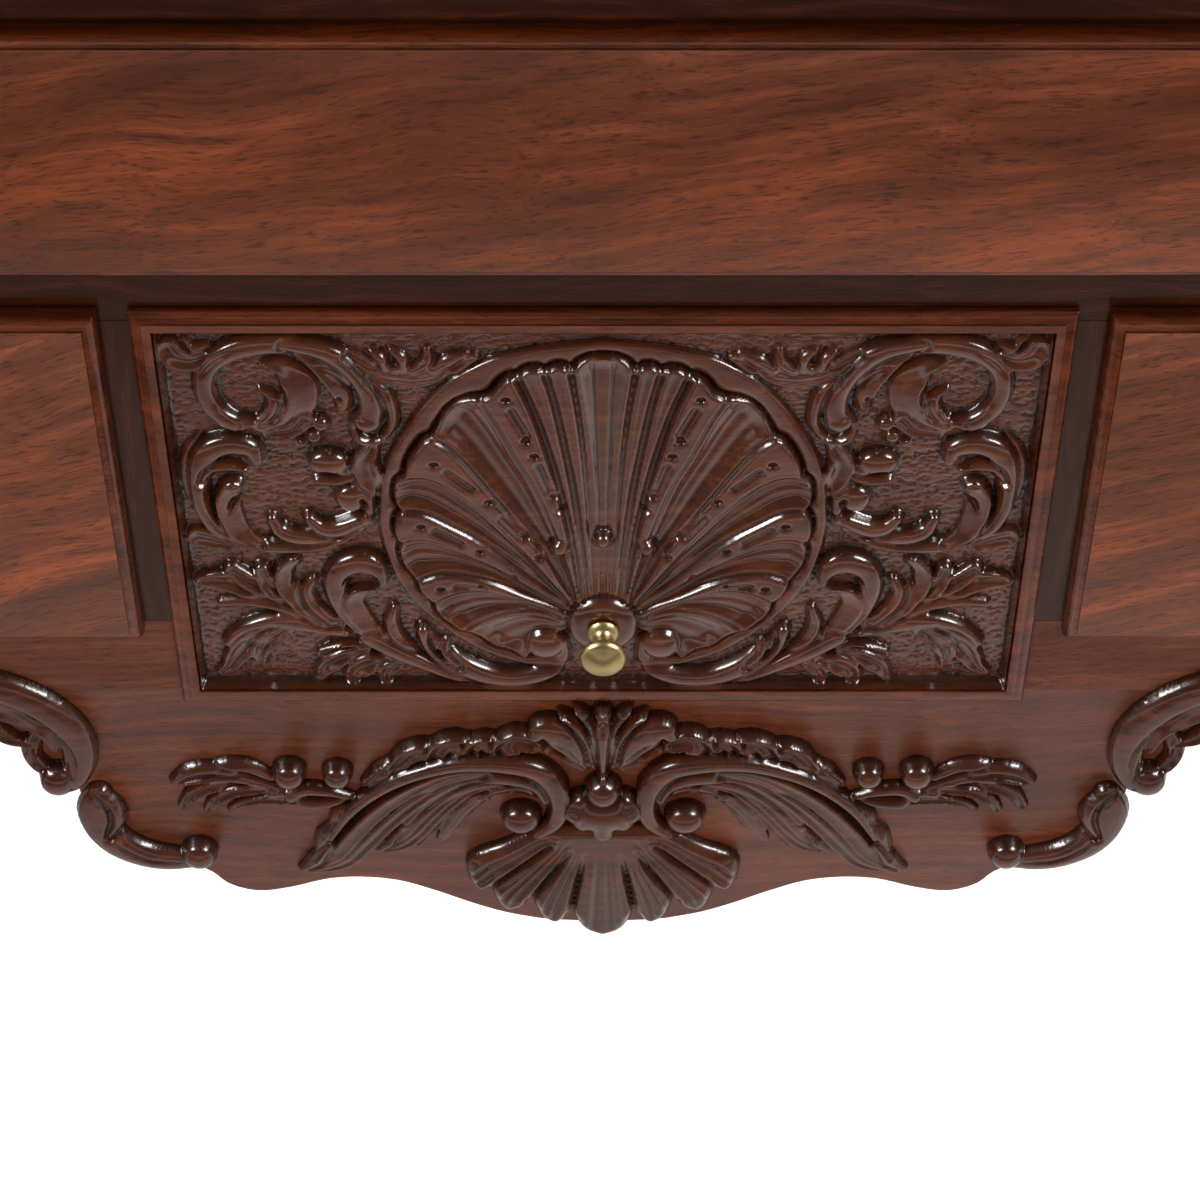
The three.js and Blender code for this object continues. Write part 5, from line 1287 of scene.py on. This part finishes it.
# Each row as before, and at its end the level over the board at which the line was read.
LEAFAGE = [
    # the spray at the outer end
    ("round", (4, 5, 5, 4.5), (1.4, 2.4, 2.8, 2.4), ((-103, 367), (-112, 364), (-122, 363.6), (-131, 369)), 0, 0),
    ("left_high", (5, 6, 6.4, 5.6), (3.0, 4.0, 4.0, 3.0, 1.6),
     ((-128, 367), (-136, 371), (-148, 377), (-160, 379.4), (-172, 375.6)), 0, 0),
    ("blade", (4, 5.6, 5.4), (2.2, 3.4, 3.4, 2.0), ((-134, 378), (-144, 384.6), (-154, 385), (-160, 381)), 0.6, 0),
    ("blade", (4, 5.4, 5), (2.4, 3.4, 3.2, 1.4),
     ((-150, 381), (-160, 383.4), (-168, 381.6), (-174.6, 376.4)), 0.6, 0),
    ("leaf", (4, 5, 5, 4.4), (2.4, 3.4, 3.4, 2.2), ((-146, 374), (-158, 374), (-167, 369), (-171.6, 362)), 0.8, 0),
    ("leaf", (4, 5, 5, 4.2), (2.2, 3.0, 3.0, 2.0),
     ((-138, 371), (-149, 371), (-157.6, 366), (-161.6, 359.6)), 0.8, 0),
    ("leaf", (4, 4.6, 4.4, 4), (2.0, 2.4, 2.2, 1.4),
     ((-126, 364.6), (-138, 366), (-147, 363.6), (-152.4, 359.4)), 0.8, 0),
    ("round", (4, 5.4, 5.6), (1.6, 2.8, 3.4), ((-102, 366.4), (-112, 370.6), (-121, 371.6), (-127, 368)), 0.6, 0),
    # lobed leaves along the top
    ("leaf", (4.6, 6.4, 6), (2.0, 4.2, 2.8), ((-96, 380), (-89, 387.4), (-83, 393)), 0, 5),
    ("leaf", (5.4, 7, 6.6), (3.0, 5.4, 5.4, 3.6), ((-84, 389.6), (-78, 396.6), (-71.6, 399.6), (-65, 399.4)), 1.0, 5),
    ("leaf", (5.4, 7.2, 6.8), (3.0, 5.8, 6.0, 4.0),
     ((-69, 394.6), (-63.4, 401.4), (-57, 403), (-50.6, 401.4)), 1.2, 5),
    ("leaf", (5.4, 7.2, 6.8), (2.6, 5.0, 5.4, 3.6), ((-54, 396), (-50.4, 402), (-45.4, 403.6), (-40.6, 402)), 1.2, 5),
    ("leaf", (5.4, 7.6, 7.2), (3.0, 5.6, 6.4, 4.2), ((-42.6, 396.6), (-38.4, 403.4), (-33, 406), (-28, 404)), 1.2, 5),
    # the third leaf, inside the scroll
    ("frond", (4.6, 5.4, 5, 4.2), (3.0, 5.0, 4.8, 1.8),
     ((-47.4, 373.4), (-56, 366.6), (-61.6, 357), (-66.6, 347)), 0, 5),
    ("right_high", (5, 6.2, 5.6), (2.4, 3.6, 3.2, 1.4), ((-26, 373), (-34, 377), (-42.6, 376), (-49, 371.4)), 0.6, 5),
    # the second leaf: a lobe, its broad face and the ridge along its upper edge
    ("frond", (5, 5.8, 4.8), (3.0, 4.4, 2.6), ((-65, 364), (-72, 353.6), (-76.6, 344.6)), 0.9, 5),
    ("frond", (5.6, 6.4, 6.2, 5), (3.0, 4.4, 5.4, 6.2, 6.4, 5.8, 2.6),
     ((-42, 381), (-54, 378.6), (-64, 371), (-72.4, 360.6), (-79, 351), (-85, 344.6), (-92, 340.4)), 0.9, 5),
    ("blade", (5, 6.4, 5.4), (1.8, 3.2, 1.6), ((-84, 352), (-88.6, 345.6), (-93, 341)), 0.6, 5),
    ("round", (6.4, 7.6, 7.4, 6), (3.4, 4.2, 4.0, 3.4, 2.8, 1.8),
     ((-22, 370.6), (-27.4, 380), (-38, 384.6), (-51, 385), (-63, 379), (-74, 368), (-81, 357.6)), 0.9, 5),
    # the first leaf: a lobe, its broad face, three small lobes and the scroll that becomes its upper edge
    ("frond", (5, 5.8, 4.8), (3.2, 4.8, 2.8), ((-86, 362), (-94.6, 350.6), (-101.4, 340)), 0.9, 5),
    ("frond", (6, 7, 6.6, 5.6, 4.4), (3.0, 4.8, 6.4, 7.6, 7.8, 6.8, 2.6),
     ((-48, 387), (-64, 382.4), (-78, 372.4), (-90, 359.6), (-100, 346), (-109, 334), (-121.6, 327)), 1.0, 5),
    ("blade", (5.4, 7, 5.4), (2.4, 4.2, 1.8), ((-101, 367.6), (-108, 359.4), (-111.4, 352)), 0.8, 5),
    ("blade", (5.2, 6.6, 5), (2.2, 3.8, 1.6), ((-108.6, 356.6), (-115, 347.6), (-118, 340.6)), 0.8, 5),
    ("blade", (5, 6.2, 4.4), (2.6, 3.6, 1.4), ((-113.4, 342.6), (-119.6, 333.6), (-125.6, 328)), 0.8, 5),
    ("round", (6.4, 8, 8.4, 8, 7.4, 6.8, 5.4), (2.6, 4.4, 5.2, 5.4, 4.8, 4.2, 4.0, 3.8, 3.4, 3.0, 2.6, 1.6),
     ((-27, 349.6), (-19.6, 357.4), (-17.4, 368.6), (-20, 379.8), (-27.4, 388.8), (-40, 392.2), (-56, 392.6),
      (-70, 388.8), (-84, 381.8), (-96, 371.8), (-105, 360.6), (-112, 347)), 1.0, 5),
]
for *row, plane in LEAFAGE:
    leafage["plane"] = plane
    stroke(leafage, *row)
for *row, plane in (
    (6.6, 0.7, 1.3, ((-60, 383), (-78, 372), (-92, 357), (-104, 341)), 5),
    (6.0, 0.7, 1.2, ((-52, 379), (-64, 370), (-74, 357), (-82, 346)), 5),
    (7.8, 0.8, 1.4, ((-30, 387), (-44, 389), (-60, 388.4), (-76, 383), (-90, 373.6)), 5),
    (5.6, 0.8, 1.5, ((-140, 372.6), (-152, 375.6), (-166, 373.6)), 0),
    (5.6, 0.7, 1.2, ((-140, 382), (-150, 384), (-158, 382)), 0),
    (7.0, 1.6, 3.0, ((-70.6, 396.6), (-74.6, 394.6), (-77.6, 391.6)), 5),
    (7.0, 1.6, 3.0, ((-56.6, 400), (-60.6, 398.4), (-63.4, 395.4)), 5),
    (7.0, 1.6, 3.0, ((-44.4, 401), (-47.6, 399.6), (-50, 396.6)), 5),
):
    leafage["plane"] = plane
    cut(leafage, *row)
leafage["plane"] = 5
ball(leafage, (-33.6, 359), (8.2, 7.2), 10.4)
leafage["plane"] = 0
ball(leafage, (-107.6, 379.4), (6.2, 6.0), 9.6)
ball(leafage, (-127, 379.6), (6.8, 6.6), 10.2)
leafage["h"] = np.clip(soften(leafage["h"]), 0, CARVING_LIMIT)
leaf_piece("apron_leafage_carving", leafage, "apron_leafage", sides=(-1, 1))

# %% Scroll along the apron's edge
scroll = make_field((-352, -156), (318, 450), 0.0)
SCROLL = [
    ("round", (5, 6.4, 7, 7, 6.4), (4.4, 6.2, 6.8, 7.4, 7.8, 7.4, 5.0),
     ((-169, 328), (-181, 328.6), (-192, 332), (-201.6, 339.4), (-207, 349.6), (-208.4, 359.6), (-205.4, 368)), 0),
    ("blade", (5, 6.8, 6), (1.6, 3.0, 3.4, 2.0), ((-207, 370), (-200.4, 363), (-199, 354), (-203.6, 344.6)), 1.0),
    ("leaf", (4.6, 5.6, 5.6, 5), (2.6, 3.6, 3.2, 1.8), ((-226, 404), (-229.6, 394), (-226, 385), (-219, 381)), 0),
    ("leaf", (4.6, 5.6, 5.4, 4.6), (3.0, 4.0, 3.4, 1.6), ((-244, 420), (-242.6, 409), (-236, 401), (-229, 398)), 0.6),
    ("round", (6, 7, 7.4, 7.2, 6.8, 6.4), (3.6, 6.4, 8.4, 9.0, 9.0, 9.2, 9.2, 8.8, 8, 7, 4.4),
     ((-222.6, 372.6), (-215, 376), (-211, 386), (-211, 398), (-216, 410), (-227, 421), (-242, 428.6), (-262, 433),
      (-290, 434), (-318, 426), (-345, 406)), 0.8),
    ("left_high", (6, 7.4, 7.6, 7), (2.4, 4.0, 5.0, 4.8, 3.0),
     ((-219, 396), (-224, 407.6), (-238, 418), (-262, 424.6), (-290, 425)), 1.0),
]
for row in SCROLL:
    stroke(scroll, *row)
for row in (
    (6.4, 1.0, 1.8, ((-212, 382), (-213, 396), (-219, 408), (-230, 417.6))),
    (7.0, 1.0, 1.8, ((-232, 423), (-250, 431), (-275, 434.6), (-300, 431), (-326, 418))),
    (6.2, 0.9, 1.6, ((-174, 329), (-188, 331), (-198, 338), (-203.6, 348))),
):
    cut(scroll, *row)
ball(scroll, (-168, 331.4), (7.2, 7.2), 9.8)
ball(scroll, (-221, 376.4), (7.4, 7.4), 9.8)
scroll["h"] = np.clip(soften(scroll["h"]), 0, CARVING_LIMIT)
leaf_piece("apron_scroll_carving", scroll, "apron_scroll", sides=(-1, 1))

# %% [markdown]
# ## Top board and moulding
# The top board's edge is an ovolo with a fillet above it, run on three sides, and its front corners are notched
# and rounded. A cove moulding with mitred corners seats it on the case. Both are one section carried along a
# path, so each is skinned over a row of outlines: the points of a sheet take the outlines, and its seam and
# ends are closed.

# %% Skinned pieces
def skinned(rings):
    rings = np.array(rings, float)
    rings = np.concatenate([rings, rings[:, :1]], axis=1)
    deselect()
    bpy.ops.mesh.primitive_grid_add(x_subdivisions=rings.shape[1] - 1, y_subdivisions=rings.shape[0] - 1, size=1)
    piece = bpy.context.object
    piece.data.vertices.foreach_set("co", (rings * MM).ravel())
    bpy.ops.object.mode_set(mode="EDIT")
    bpy.ops.mesh.select_mode(type="VERT")
    bpy.ops.mesh.select_all(action="SELECT")
    bpy.ops.mesh.remove_doubles(threshold=1e-6)
    bpy.ops.mesh.select_all(action="DESELECT")
    bpy.ops.mesh.select_non_manifold()
    bpy.ops.mesh.fill_holes(sides=0)
    finish_outwards()
    return piece


def joined(pieces):
    deselect()
    for piece in pieces:
        piece.select_set(True)
    bpy.context.view_layer.objects.active = pieces[0]
    if len(pieces) > 1:
        bpy.ops.object.join()
    return pieces[0]


def twin(piece, flip=(1, 1, 1), move=(0, 0, 0)):
    """A copy with its own mesh, mirrored about the middle of the case or moved."""
    deselect()
    piece.select_set(True)
    bpy.context.view_layer.objects.active = piece
    bpy.ops.object.duplicate(linked=False)
    copy = bpy.context.object
    edit_whole()
    bpy.ops.transform.resize(value=flip, center_override=(0, 0, 0))
    bpy.ops.transform.translate(value=[v * MM for v in move])
    finish_outwards()
    return copy


def quarter(steps=8):
    return [(math.sin(t), 1 - math.cos(t)) for t in np.linspace(0, math.pi / 2, steps + 1)]


# %% Top board
top_low, top_high = (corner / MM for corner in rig.box("top_board"))
NOTCH = 22
NOTCH_ROUND = 14.3
OVOLO, OVOLO_RISE = 9, 11
FILLET_RISE, STEP_IN = 3, 1.8
NOSE, NOSE_RISE = 5.4, 4.2
top_profile = [(OVOLO * (1 - a), OVOLO_RISE * b) for a, b in quarter()]
top_profile += [(0, OVOLO_RISE + FILLET_RISE), (STEP_IN, OVOLO_RISE + FILLET_RISE + 0.4)]
nose_foot = top_high.z - top_low.z - NOSE_RISE
top_profile += [(STEP_IN + NOSE * b, nose_foot + NOSE_RISE * a) for a, b in quarter()]


def top_outline(inset, z):
    half, front = top_high.x - inset, top_low.y + inset
    right = [(half, top_high.y), (half, front + NOTCH)]
    right += [(half - NOTCH + NOTCH_ROUND * math.cos(t), front + NOTCH - NOTCH_ROUND * math.sin(t))
              for t in np.linspace(0, math.pi / 2, 13)]
    right += [(half - NOTCH, front)]
    return [(x, y, z) for x, y in right] + [(-x, y, z) for x, y in reversed(right)]


top = skinned([top_outline(inset, top_low.z + rise) for inset, rise in top_profile])
settle(top, "moulded_top_board", rail_mahogany, "case", ["top_board"])

# %% Cove moulding under the top
CASE_HALF, CASE_DEEP = 418, 240
bed_low, bed_high = (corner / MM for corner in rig.box("top_moulding"))
BED_FOOT, BED_REACH, BED_FILLET = 3, 13, 2.4
BED_BEAD = 1.9
cove_high, cove_low = bed_high.z - BED_FILLET, bed_low.z + BED_BEAD
bed_profile = [(0.3, bed_low.z), (0.3, bed_high.z), (BED_REACH, bed_high.z), (BED_REACH, cove_high)]
cove_reach = BED_REACH - BED_FOOT - 2
bed_profile += [(BED_REACH - 1 - cove_reach * a, cove_high - (cove_high - cove_low) * b) for a, b in quarter(10)]
bed_profile += [(BED_FOOT + 1, bed_low.z + BED_BEAD), (BED_FOOT + 1.4, bed_low.z + BED_BEAD / 2),
                (BED_FOOT, bed_low.z)]
stations = [
    (-CASE_HALF, CASE_DEEP, -1, 0), (-CASE_HALF, -CASE_DEEP, -1, -1), (CASE_HALF, -CASE_DEEP, 1, -1),
    (CASE_HALF, CASE_DEEP, 1, 0),
]
moulding = skinned([[(x + out_x * reach, y + out_y * reach, z) for reach, z in bed_profile]
                    for x, y, out_x, out_y in stations])
settle(moulding, "cove_moulding", painted_shade_mahogany, "case", ["top_moulding"])

# %% [markdown]
# ## Corner columns and legs
# Each front corner holds a quarter column with flutes between two turned rings. A leg's section changes from the
# square post to a round ankle while it swings out and back, which extruding with one scale can't follow, so its
# outlines are worked out level by level. The foot is a ball that four talons grip, each with three knuckles.

# %% Quarter columns
COLUMN_FOOT, COLUMN_TOP = 463.6, 734.4
COLUMN_RADIUS, COLUMN_NECK = 30.7, 3
COLUMN_BASE = 26
FLUTES_ACROSS, FLUTE_DEPTH = 4, 1.6
COLUMN_CORNER = (387, -209)
column_levels = [
    (0, 0, 0), (0.33, 0, 0), (0.37, 0.25, 0), (0.42, 0.3, 0), (0.5, 0.08, 0), (0.58, 0, 0), (0.66, 0.05, 0),
    (0.74, 0.35, 0), (0.8, 0.75, 0), (0.9, 0.95, 0), (0.99, 1, 0), (1.03, 1, 0.5), (1.1, 1, 1),
]


def column_ring(rise, waist, fluted, from_top):
    z = COLUMN_TOP - rise * COLUMN_BASE if from_top else COLUMN_FOOT + rise * COLUMN_BASE
    ring = [(0.3, 0.3, z)]
    for share in np.linspace(0, 1, 16 * FLUTES_ACROSS + 1):
        angle = 0.065 + share * (math.pi / 2 - 0.13)
        flute = fluted * FLUTE_DEPTH * abs(math.sin(share * FLUTES_ACROSS * math.pi)) ** 1.2
        radius = COLUMN_RADIUS - waist * COLUMN_NECK - flute
        ring.append((radius * math.cos(angle), radius * math.sin(angle), z))
    return [(-COLUMN_CORNER[0] - x, COLUMN_CORNER[1] - y, z) for x, y, z in ring]


rings = [column_ring(*row, False) for row in column_levels]
rings += [column_ring(*row, True) for row in reversed(column_levels)]
column = skinned(rings)
other = twin(column, flip=(-1, 1, 1))
settle(column, "left_fluted_column", upright_mahogany, "case", ["left_quarter_column"])
settle(other, "right_fluted_column", upright_mahogany, "case", ["right_quarter_column"])

# %% Legs
POST = (391.5, 213.5)
POST_HALF = 26.5
KNEE_TOP = 440.2
POST_TOP = 756.7
REBATE = 31
# Each row: level, how far it stands out, size and roundness, all as shares of the knee's height or half the post.
LEG_LEVELS = [
    (1.012, 0, 1, 0.02), (1, 0, 1, 0.02), (0.955, 0.226, 1.226, 0.3), (0.91, 0.377, 1.377, 0.36),
    (0.865, 0.453, 1.41, 0.42), (0.795, 0.49, 1.28, 0.5), (0.705, 0.434, 1.09, 0.6), (0.614, 0.302, 0.96, 0.7),
    (0.523, 0.15, 0.85, 0.8), (0.432, 0.02, 0.755, 0.9), (0.34, -0.075, 0.68, 0.96), (0.26, -0.075, 0.634, 1),
    (0.205, 0, 0.64, 1), (0.16, 0.12, 0.75, 1), (0.125, 0.226, 0.86, 1),
]
BALL = (400.5, 222.5, 33)
BALL_RADIUS = 35
TALON_REACH, TALON_RADIUS = 37, 7
TALON_PATH = [
    (0.3, 2.5), (0.42, 2.2), (0.54, 1.95), (0.76, 1.66), (0.9, 1.42), (1.0, 1.16), (1.02, 0.88), (0.98, 0.6),
    (0.9, 0.3), (0.8, 0.05),
]
TALON_SIZES = (0.7, 0.85, 1.08, 0.86, 1.1, 0.88, 1.04, 0.78, 0.56, 0.3)
TALON_TURNS = (45 - 75, 45, 45 + 75, 225)


def squared_ring(half, roundness, centre, z):
    radius = half * max(roundness, 0.02)
    flat = half - radius
    ring = []
    for corner in range(4):
        for angle in np.linspace(0, math.pi / 2, 9) + corner * math.pi / 2:
            side_x = 1 if corner in (0, 3) else -1
            side_y = 1 if corner in (0, 1) else -1
            ring.append((centre[0] + side_x * flat + radius * math.cos(angle),
                         centre[1] + side_y * flat + radius * math.sin(angle), z))
    return ring


def post_piece(low, high, rebated):
    x0, y0, x1, y1 = POST[0] - POST_HALF, POST[1] - POST_HALF, POST[0] + POST_HALF, POST[1] + POST_HALF
    outline = [(x0, y0), (x1, y0), (x1, y1), (x0, y1)]
    if rebated:
        outline = [(x0, y0), (x1, y0), (x1, y1 - REBATE), (x1 - REBATE, y1 - REBATE), (x1 - REBATE, y1), (x0, y1)]
    return skinned([[(x, y, z) for x, y in outline] for z in (low, high)])


def talon(turn):
    path = smooth_line(TALON_PATH, 0.06)
    sizes = np.interp(np.linspace(0, 1, len(path)), np.linspace(0, 1, len(TALON_SIZES)), TALON_SIZES) * TALON_RADIUS
    runs = np.gradient(path * (TALON_REACH, BALL[2]), axis=0)
    cos_t, sin_t = math.cos(math.radians(turn)), math.sin(math.radians(turn))
    rings = []
    for (out, rise), run, size in zip(path, runs / np.linalg.norm(runs, axis=1)[:, None], sizes):
        ring = []
        for angle in np.linspace(0, 2 * math.pi, 14, endpoint=False):
            across = size * math.cos(angle)
            away = TALON_REACH * out - run[1] * size * math.sin(angle)
            z = max(BALL[2] * rise + run[0] * size * math.sin(angle), 0)
            ring.append((BALL[0] + away * cos_t - across * sin_t, BALL[1] + away * sin_t + across * cos_t, z))
        rings.append(ring)
    return skinned(rings)


def leg_piece(with_column):
    table = smooth_line([(level * 10, out, size, roundness) for level, out, size, roundness in LEG_LEVELS], 0.16)
    pieces = [skinned([squared_ring(POST_HALF * size, min(max(roundness, 0.02), 1),
                                    (POST[0] + POST_HALF * out, POST[1] + POST_HALF * out),
                                    KNEE_TOP * level / 10) for level, out, size, roundness in table])]
    turns = np.linspace(math.acos(BALL[2] / BALL_RADIUS), math.pi - 0.05, 22)
    heights = BALL[2] - BALL_RADIUS * np.cos(turns)
    pieces.append(skinned([squared_ring(math.sqrt(max(BALL_RADIUS ** 2 - (z - BALL[2]) ** 2, 1)), 1, BALL[:2],
                                        max(z, 0)) for z in heights]))
    pieces += [talon(turn) for turn in TALON_TURNS]
    if with_column:
        pieces += [post_piece(KNEE_TOP, COLUMN_FOOT - 0.3, False),
                   post_piece(COLUMN_FOOT - 0.3, COLUMN_TOP + 0.3, True),
                   post_piece(COLUMN_TOP + 0.3, POST_TOP, False)]
    else:
        pieces.append(post_piece(KNEE_TOP, POST_TOP, False))
    return joined(pieces)


for place, y_flip, with_column in (("front", -1, True), ("back", 1, False)):
    right = leg_piece(with_column)
    if y_flip < 0:
        edit_whole()
        bpy.ops.transform.resize(value=(1, -1, 1), center_override=(0, 0, 0))
        finish_outwards()
    left = twin(right, flip=(-1, 1, 1))
    settle(right, f"right_{place}_cabriole_leg", upright_mahogany, "case", [f"{place}_right_leg"], smooth=50)
    settle(left, f"left_{place}_cabriole_leg", upright_mahogany, "case", [f"{place}_left_leg"], smooth=50)

# %% [markdown]
# ## Brass
# The knob is turned: a disc is drawn out of its base step by step, wider and narrower, like a turner's profile.
# Each pull is a cast plate with a scalloped outline and two turned posts, and its bail hangs between the posts.

# %% Turned brass
def turned(profile, x, z, sides):
    """Rows of radius and y, drawn out of a disc along y."""
    deselect()
    first_radius, first_y = profile[0]
    bpy.ops.mesh.primitive_circle_add(vertices=sides, radius=first_radius * MM, fill_type="NGON",
                                      location=(x * MM, first_y * MM, z * MM),
                                      rotation=(math.pi / 2, 0, 0))
    piece = bpy.context.object
    bpy.ops.object.transform_apply(location=True, rotation=True, scale=True)
    edit_whole()
    for (radius, y), (next_radius, next_y) in zip(profile, profile[1:]):
        bpy.ops.mesh.extrude_region_move(TRANSFORM_OT_translate={"value": (0, (next_y - y) * MM, 0)})
        growth = next_radius / radius
        bpy.ops.transform.resize(value=(growth, 1, growth), center_override=(x * MM, next_y * MM, z * MM))
    finish_outwards()
    return piece


# %% Knob of the shell drawer
KNOB_PROFILE = [
    (0.66, 0), (0.7, 0.02), (0.7, 0.06), (0.6, 0.12), (0.44, 0.18), (0.36, 0.28), (0.36, 0.38), (0.44, 0.48),
    (0.66, 0.56), (0.88, 0.62), (0.98, 0.68), (1.0, 0.74), (0.97, 0.8), (0.88, 0.85), (0.72, 0.89), (0.5, 0.94),
    (0.28, 0.98), (0.03, 1.0),
]
knob_low, knob_high = (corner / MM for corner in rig.box("shell_drawer_knob"))
knob_radius = (knob_high.x - knob_low.x) / 2
knob_length = knob_high.y - knob_low.y
knob_rows = [(max(r, 0.02) * knob_radius, knob_high.y - share * knob_length)
             for r, share in smooth_line(KNOB_PROFILE, 0.04)]
knob = turned(knob_rows, 0, (knob_low.z + knob_high.z) / 2, sides=56)
settle(knob, "turned_knob", satin_brass, "shell_drawer", ["shell_drawer_knob"], smooth=40)

# %% Pulls
PLATE_HALF, PLATE_TALL, PLATE_THICK = 47, 46, 1.8
PLATE_SHAPE = [
    (0, 0.5), (0.12, 0.42), (0.26, 0.44), (0.34, 0.34), (0.5, 0.3), (0.68, 0.36), (0.84, 0.26), (1, 0.2),
    (0.94, 0.02), (1, -0.14), (0.8, -0.18), (0.66, -0.34), (0.44, -0.36), (0.3, -0.5), (0.12, -0.5), (0, -0.62),
]
POST_SPAN, AXIS_RISE = 66, 9
AXIS_Y, POST_END_Y = -266.3, -270.5
BAIL_REACH, BAIL_DROP, BAIL_WIRE = 38.2, 26, 2.1
BAIL_SHAPE = [
    (0.84, 0), (1, 0), (1.06, 0), (1.12, -0.12), (1.1, -0.38), (0.94, -0.64), (0.7, -0.81), (0.36, -0.92),
    (0, -0.96),
]
# Radius of the post in millimetres, and the share of the way out from the plate.
POST_PROFILE = [
    (6.6, 0), (6.8, 0.1), (6.2, 0.16), (4.6, 0.2), (3.6, 0.26), (3.3, 0.5), (3.6, 0.62), (4.6, 0.68), (5.1, 0.76),
    (5.2, 0.84), (4.8, 0.92), (3.4, 0.97), (0.2, 1),
]
plate_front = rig.box("left_drawer_front")[0].y / MM - 0.3


def plate_piece():
    half = [tuple(p) for p in smooth_line([(a * PLATE_HALF, b * PLATE_TALL) for a, b in PLATE_SHAPE], 1.6)]
    plate = sawn_board(half + [(-x, z) for x, z in reversed(half[1:-1])], plate_front - PLATE_THICK, plate_front)
    ease_edges(plate, 0.6)
    reach = plate_front - POST_END_Y
    rows = [(radius, plate_front - PLATE_THICK / 2 - share * (reach - PLATE_THICK / 2))
            for radius, share in POST_PROFILE]
    return joined([plate] + [turned(rows, side * POST_SPAN / 2, AXIS_RISE, sides=28) for side in (-1, 1)])


def bail_piece():
    half = smooth_line([(a * BAIL_REACH, b * BAIL_DROP) for a, b in BAIL_SHAPE], 1.2)
    line = np.vstack([half, half[-2::-1] * (-1, 1)])
    runs = np.gradient(line, axis=0)
    runs /= np.linalg.norm(runs, axis=1)[:, None]
    middle = np.abs(np.linspace(-1, 1, len(line)))
    thickness = BAIL_WIRE + 0.5 * np.exp(-(middle / 0.16) ** 2) - 0.25 * np.exp(-((middle - 0.62) / 0.12) ** 2)
    rings = []
    for (x, z), (run_x, run_z), radius in zip(line, runs, thickness):
        angles = np.linspace(0, 2 * math.pi, 16, endpoint=False)
        rings.append([(x - run_z * radius * math.cos(t), AXIS_Y + radius * math.sin(t),
                       z + AXIS_RISE + run_x * radius * math.cos(t)) for t in angles])
    return skinned(rings)


plate, bail = plate_piece(), bail_piece()
for pull, drawer in (("long_left", "long_drawer"), ("long_right", "long_drawer"), ("left", "left_drawer"),
                     ("right", "right_drawer")):
    low, high = (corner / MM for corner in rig.box(f"{pull}_pull_plate"))
    place = ((low.x + high.x) / 2, 0, low.z - PLATE_SHAPE[-1][1] * PLATE_TALL)
    settle(twin(plate, move=place), f"{pull}_cast_plate", satin_brass, drawer, [f"{pull}_pull_plate"], smooth=40)
    settle(twin(bail, move=place), f"{pull}_swinging_bail", satin_brass, f"{pull}_bail", [f"{pull}_pull_bail"],
           smooth=60)
for pattern in (plate, bail):
    bpy.data.objects.remove(pattern)

# %% Sizes
json.dump({"cad": cad_box, "visual": [list(corner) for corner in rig.bounds()]}, open("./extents.json", "w"))
print(open("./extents.json").read())
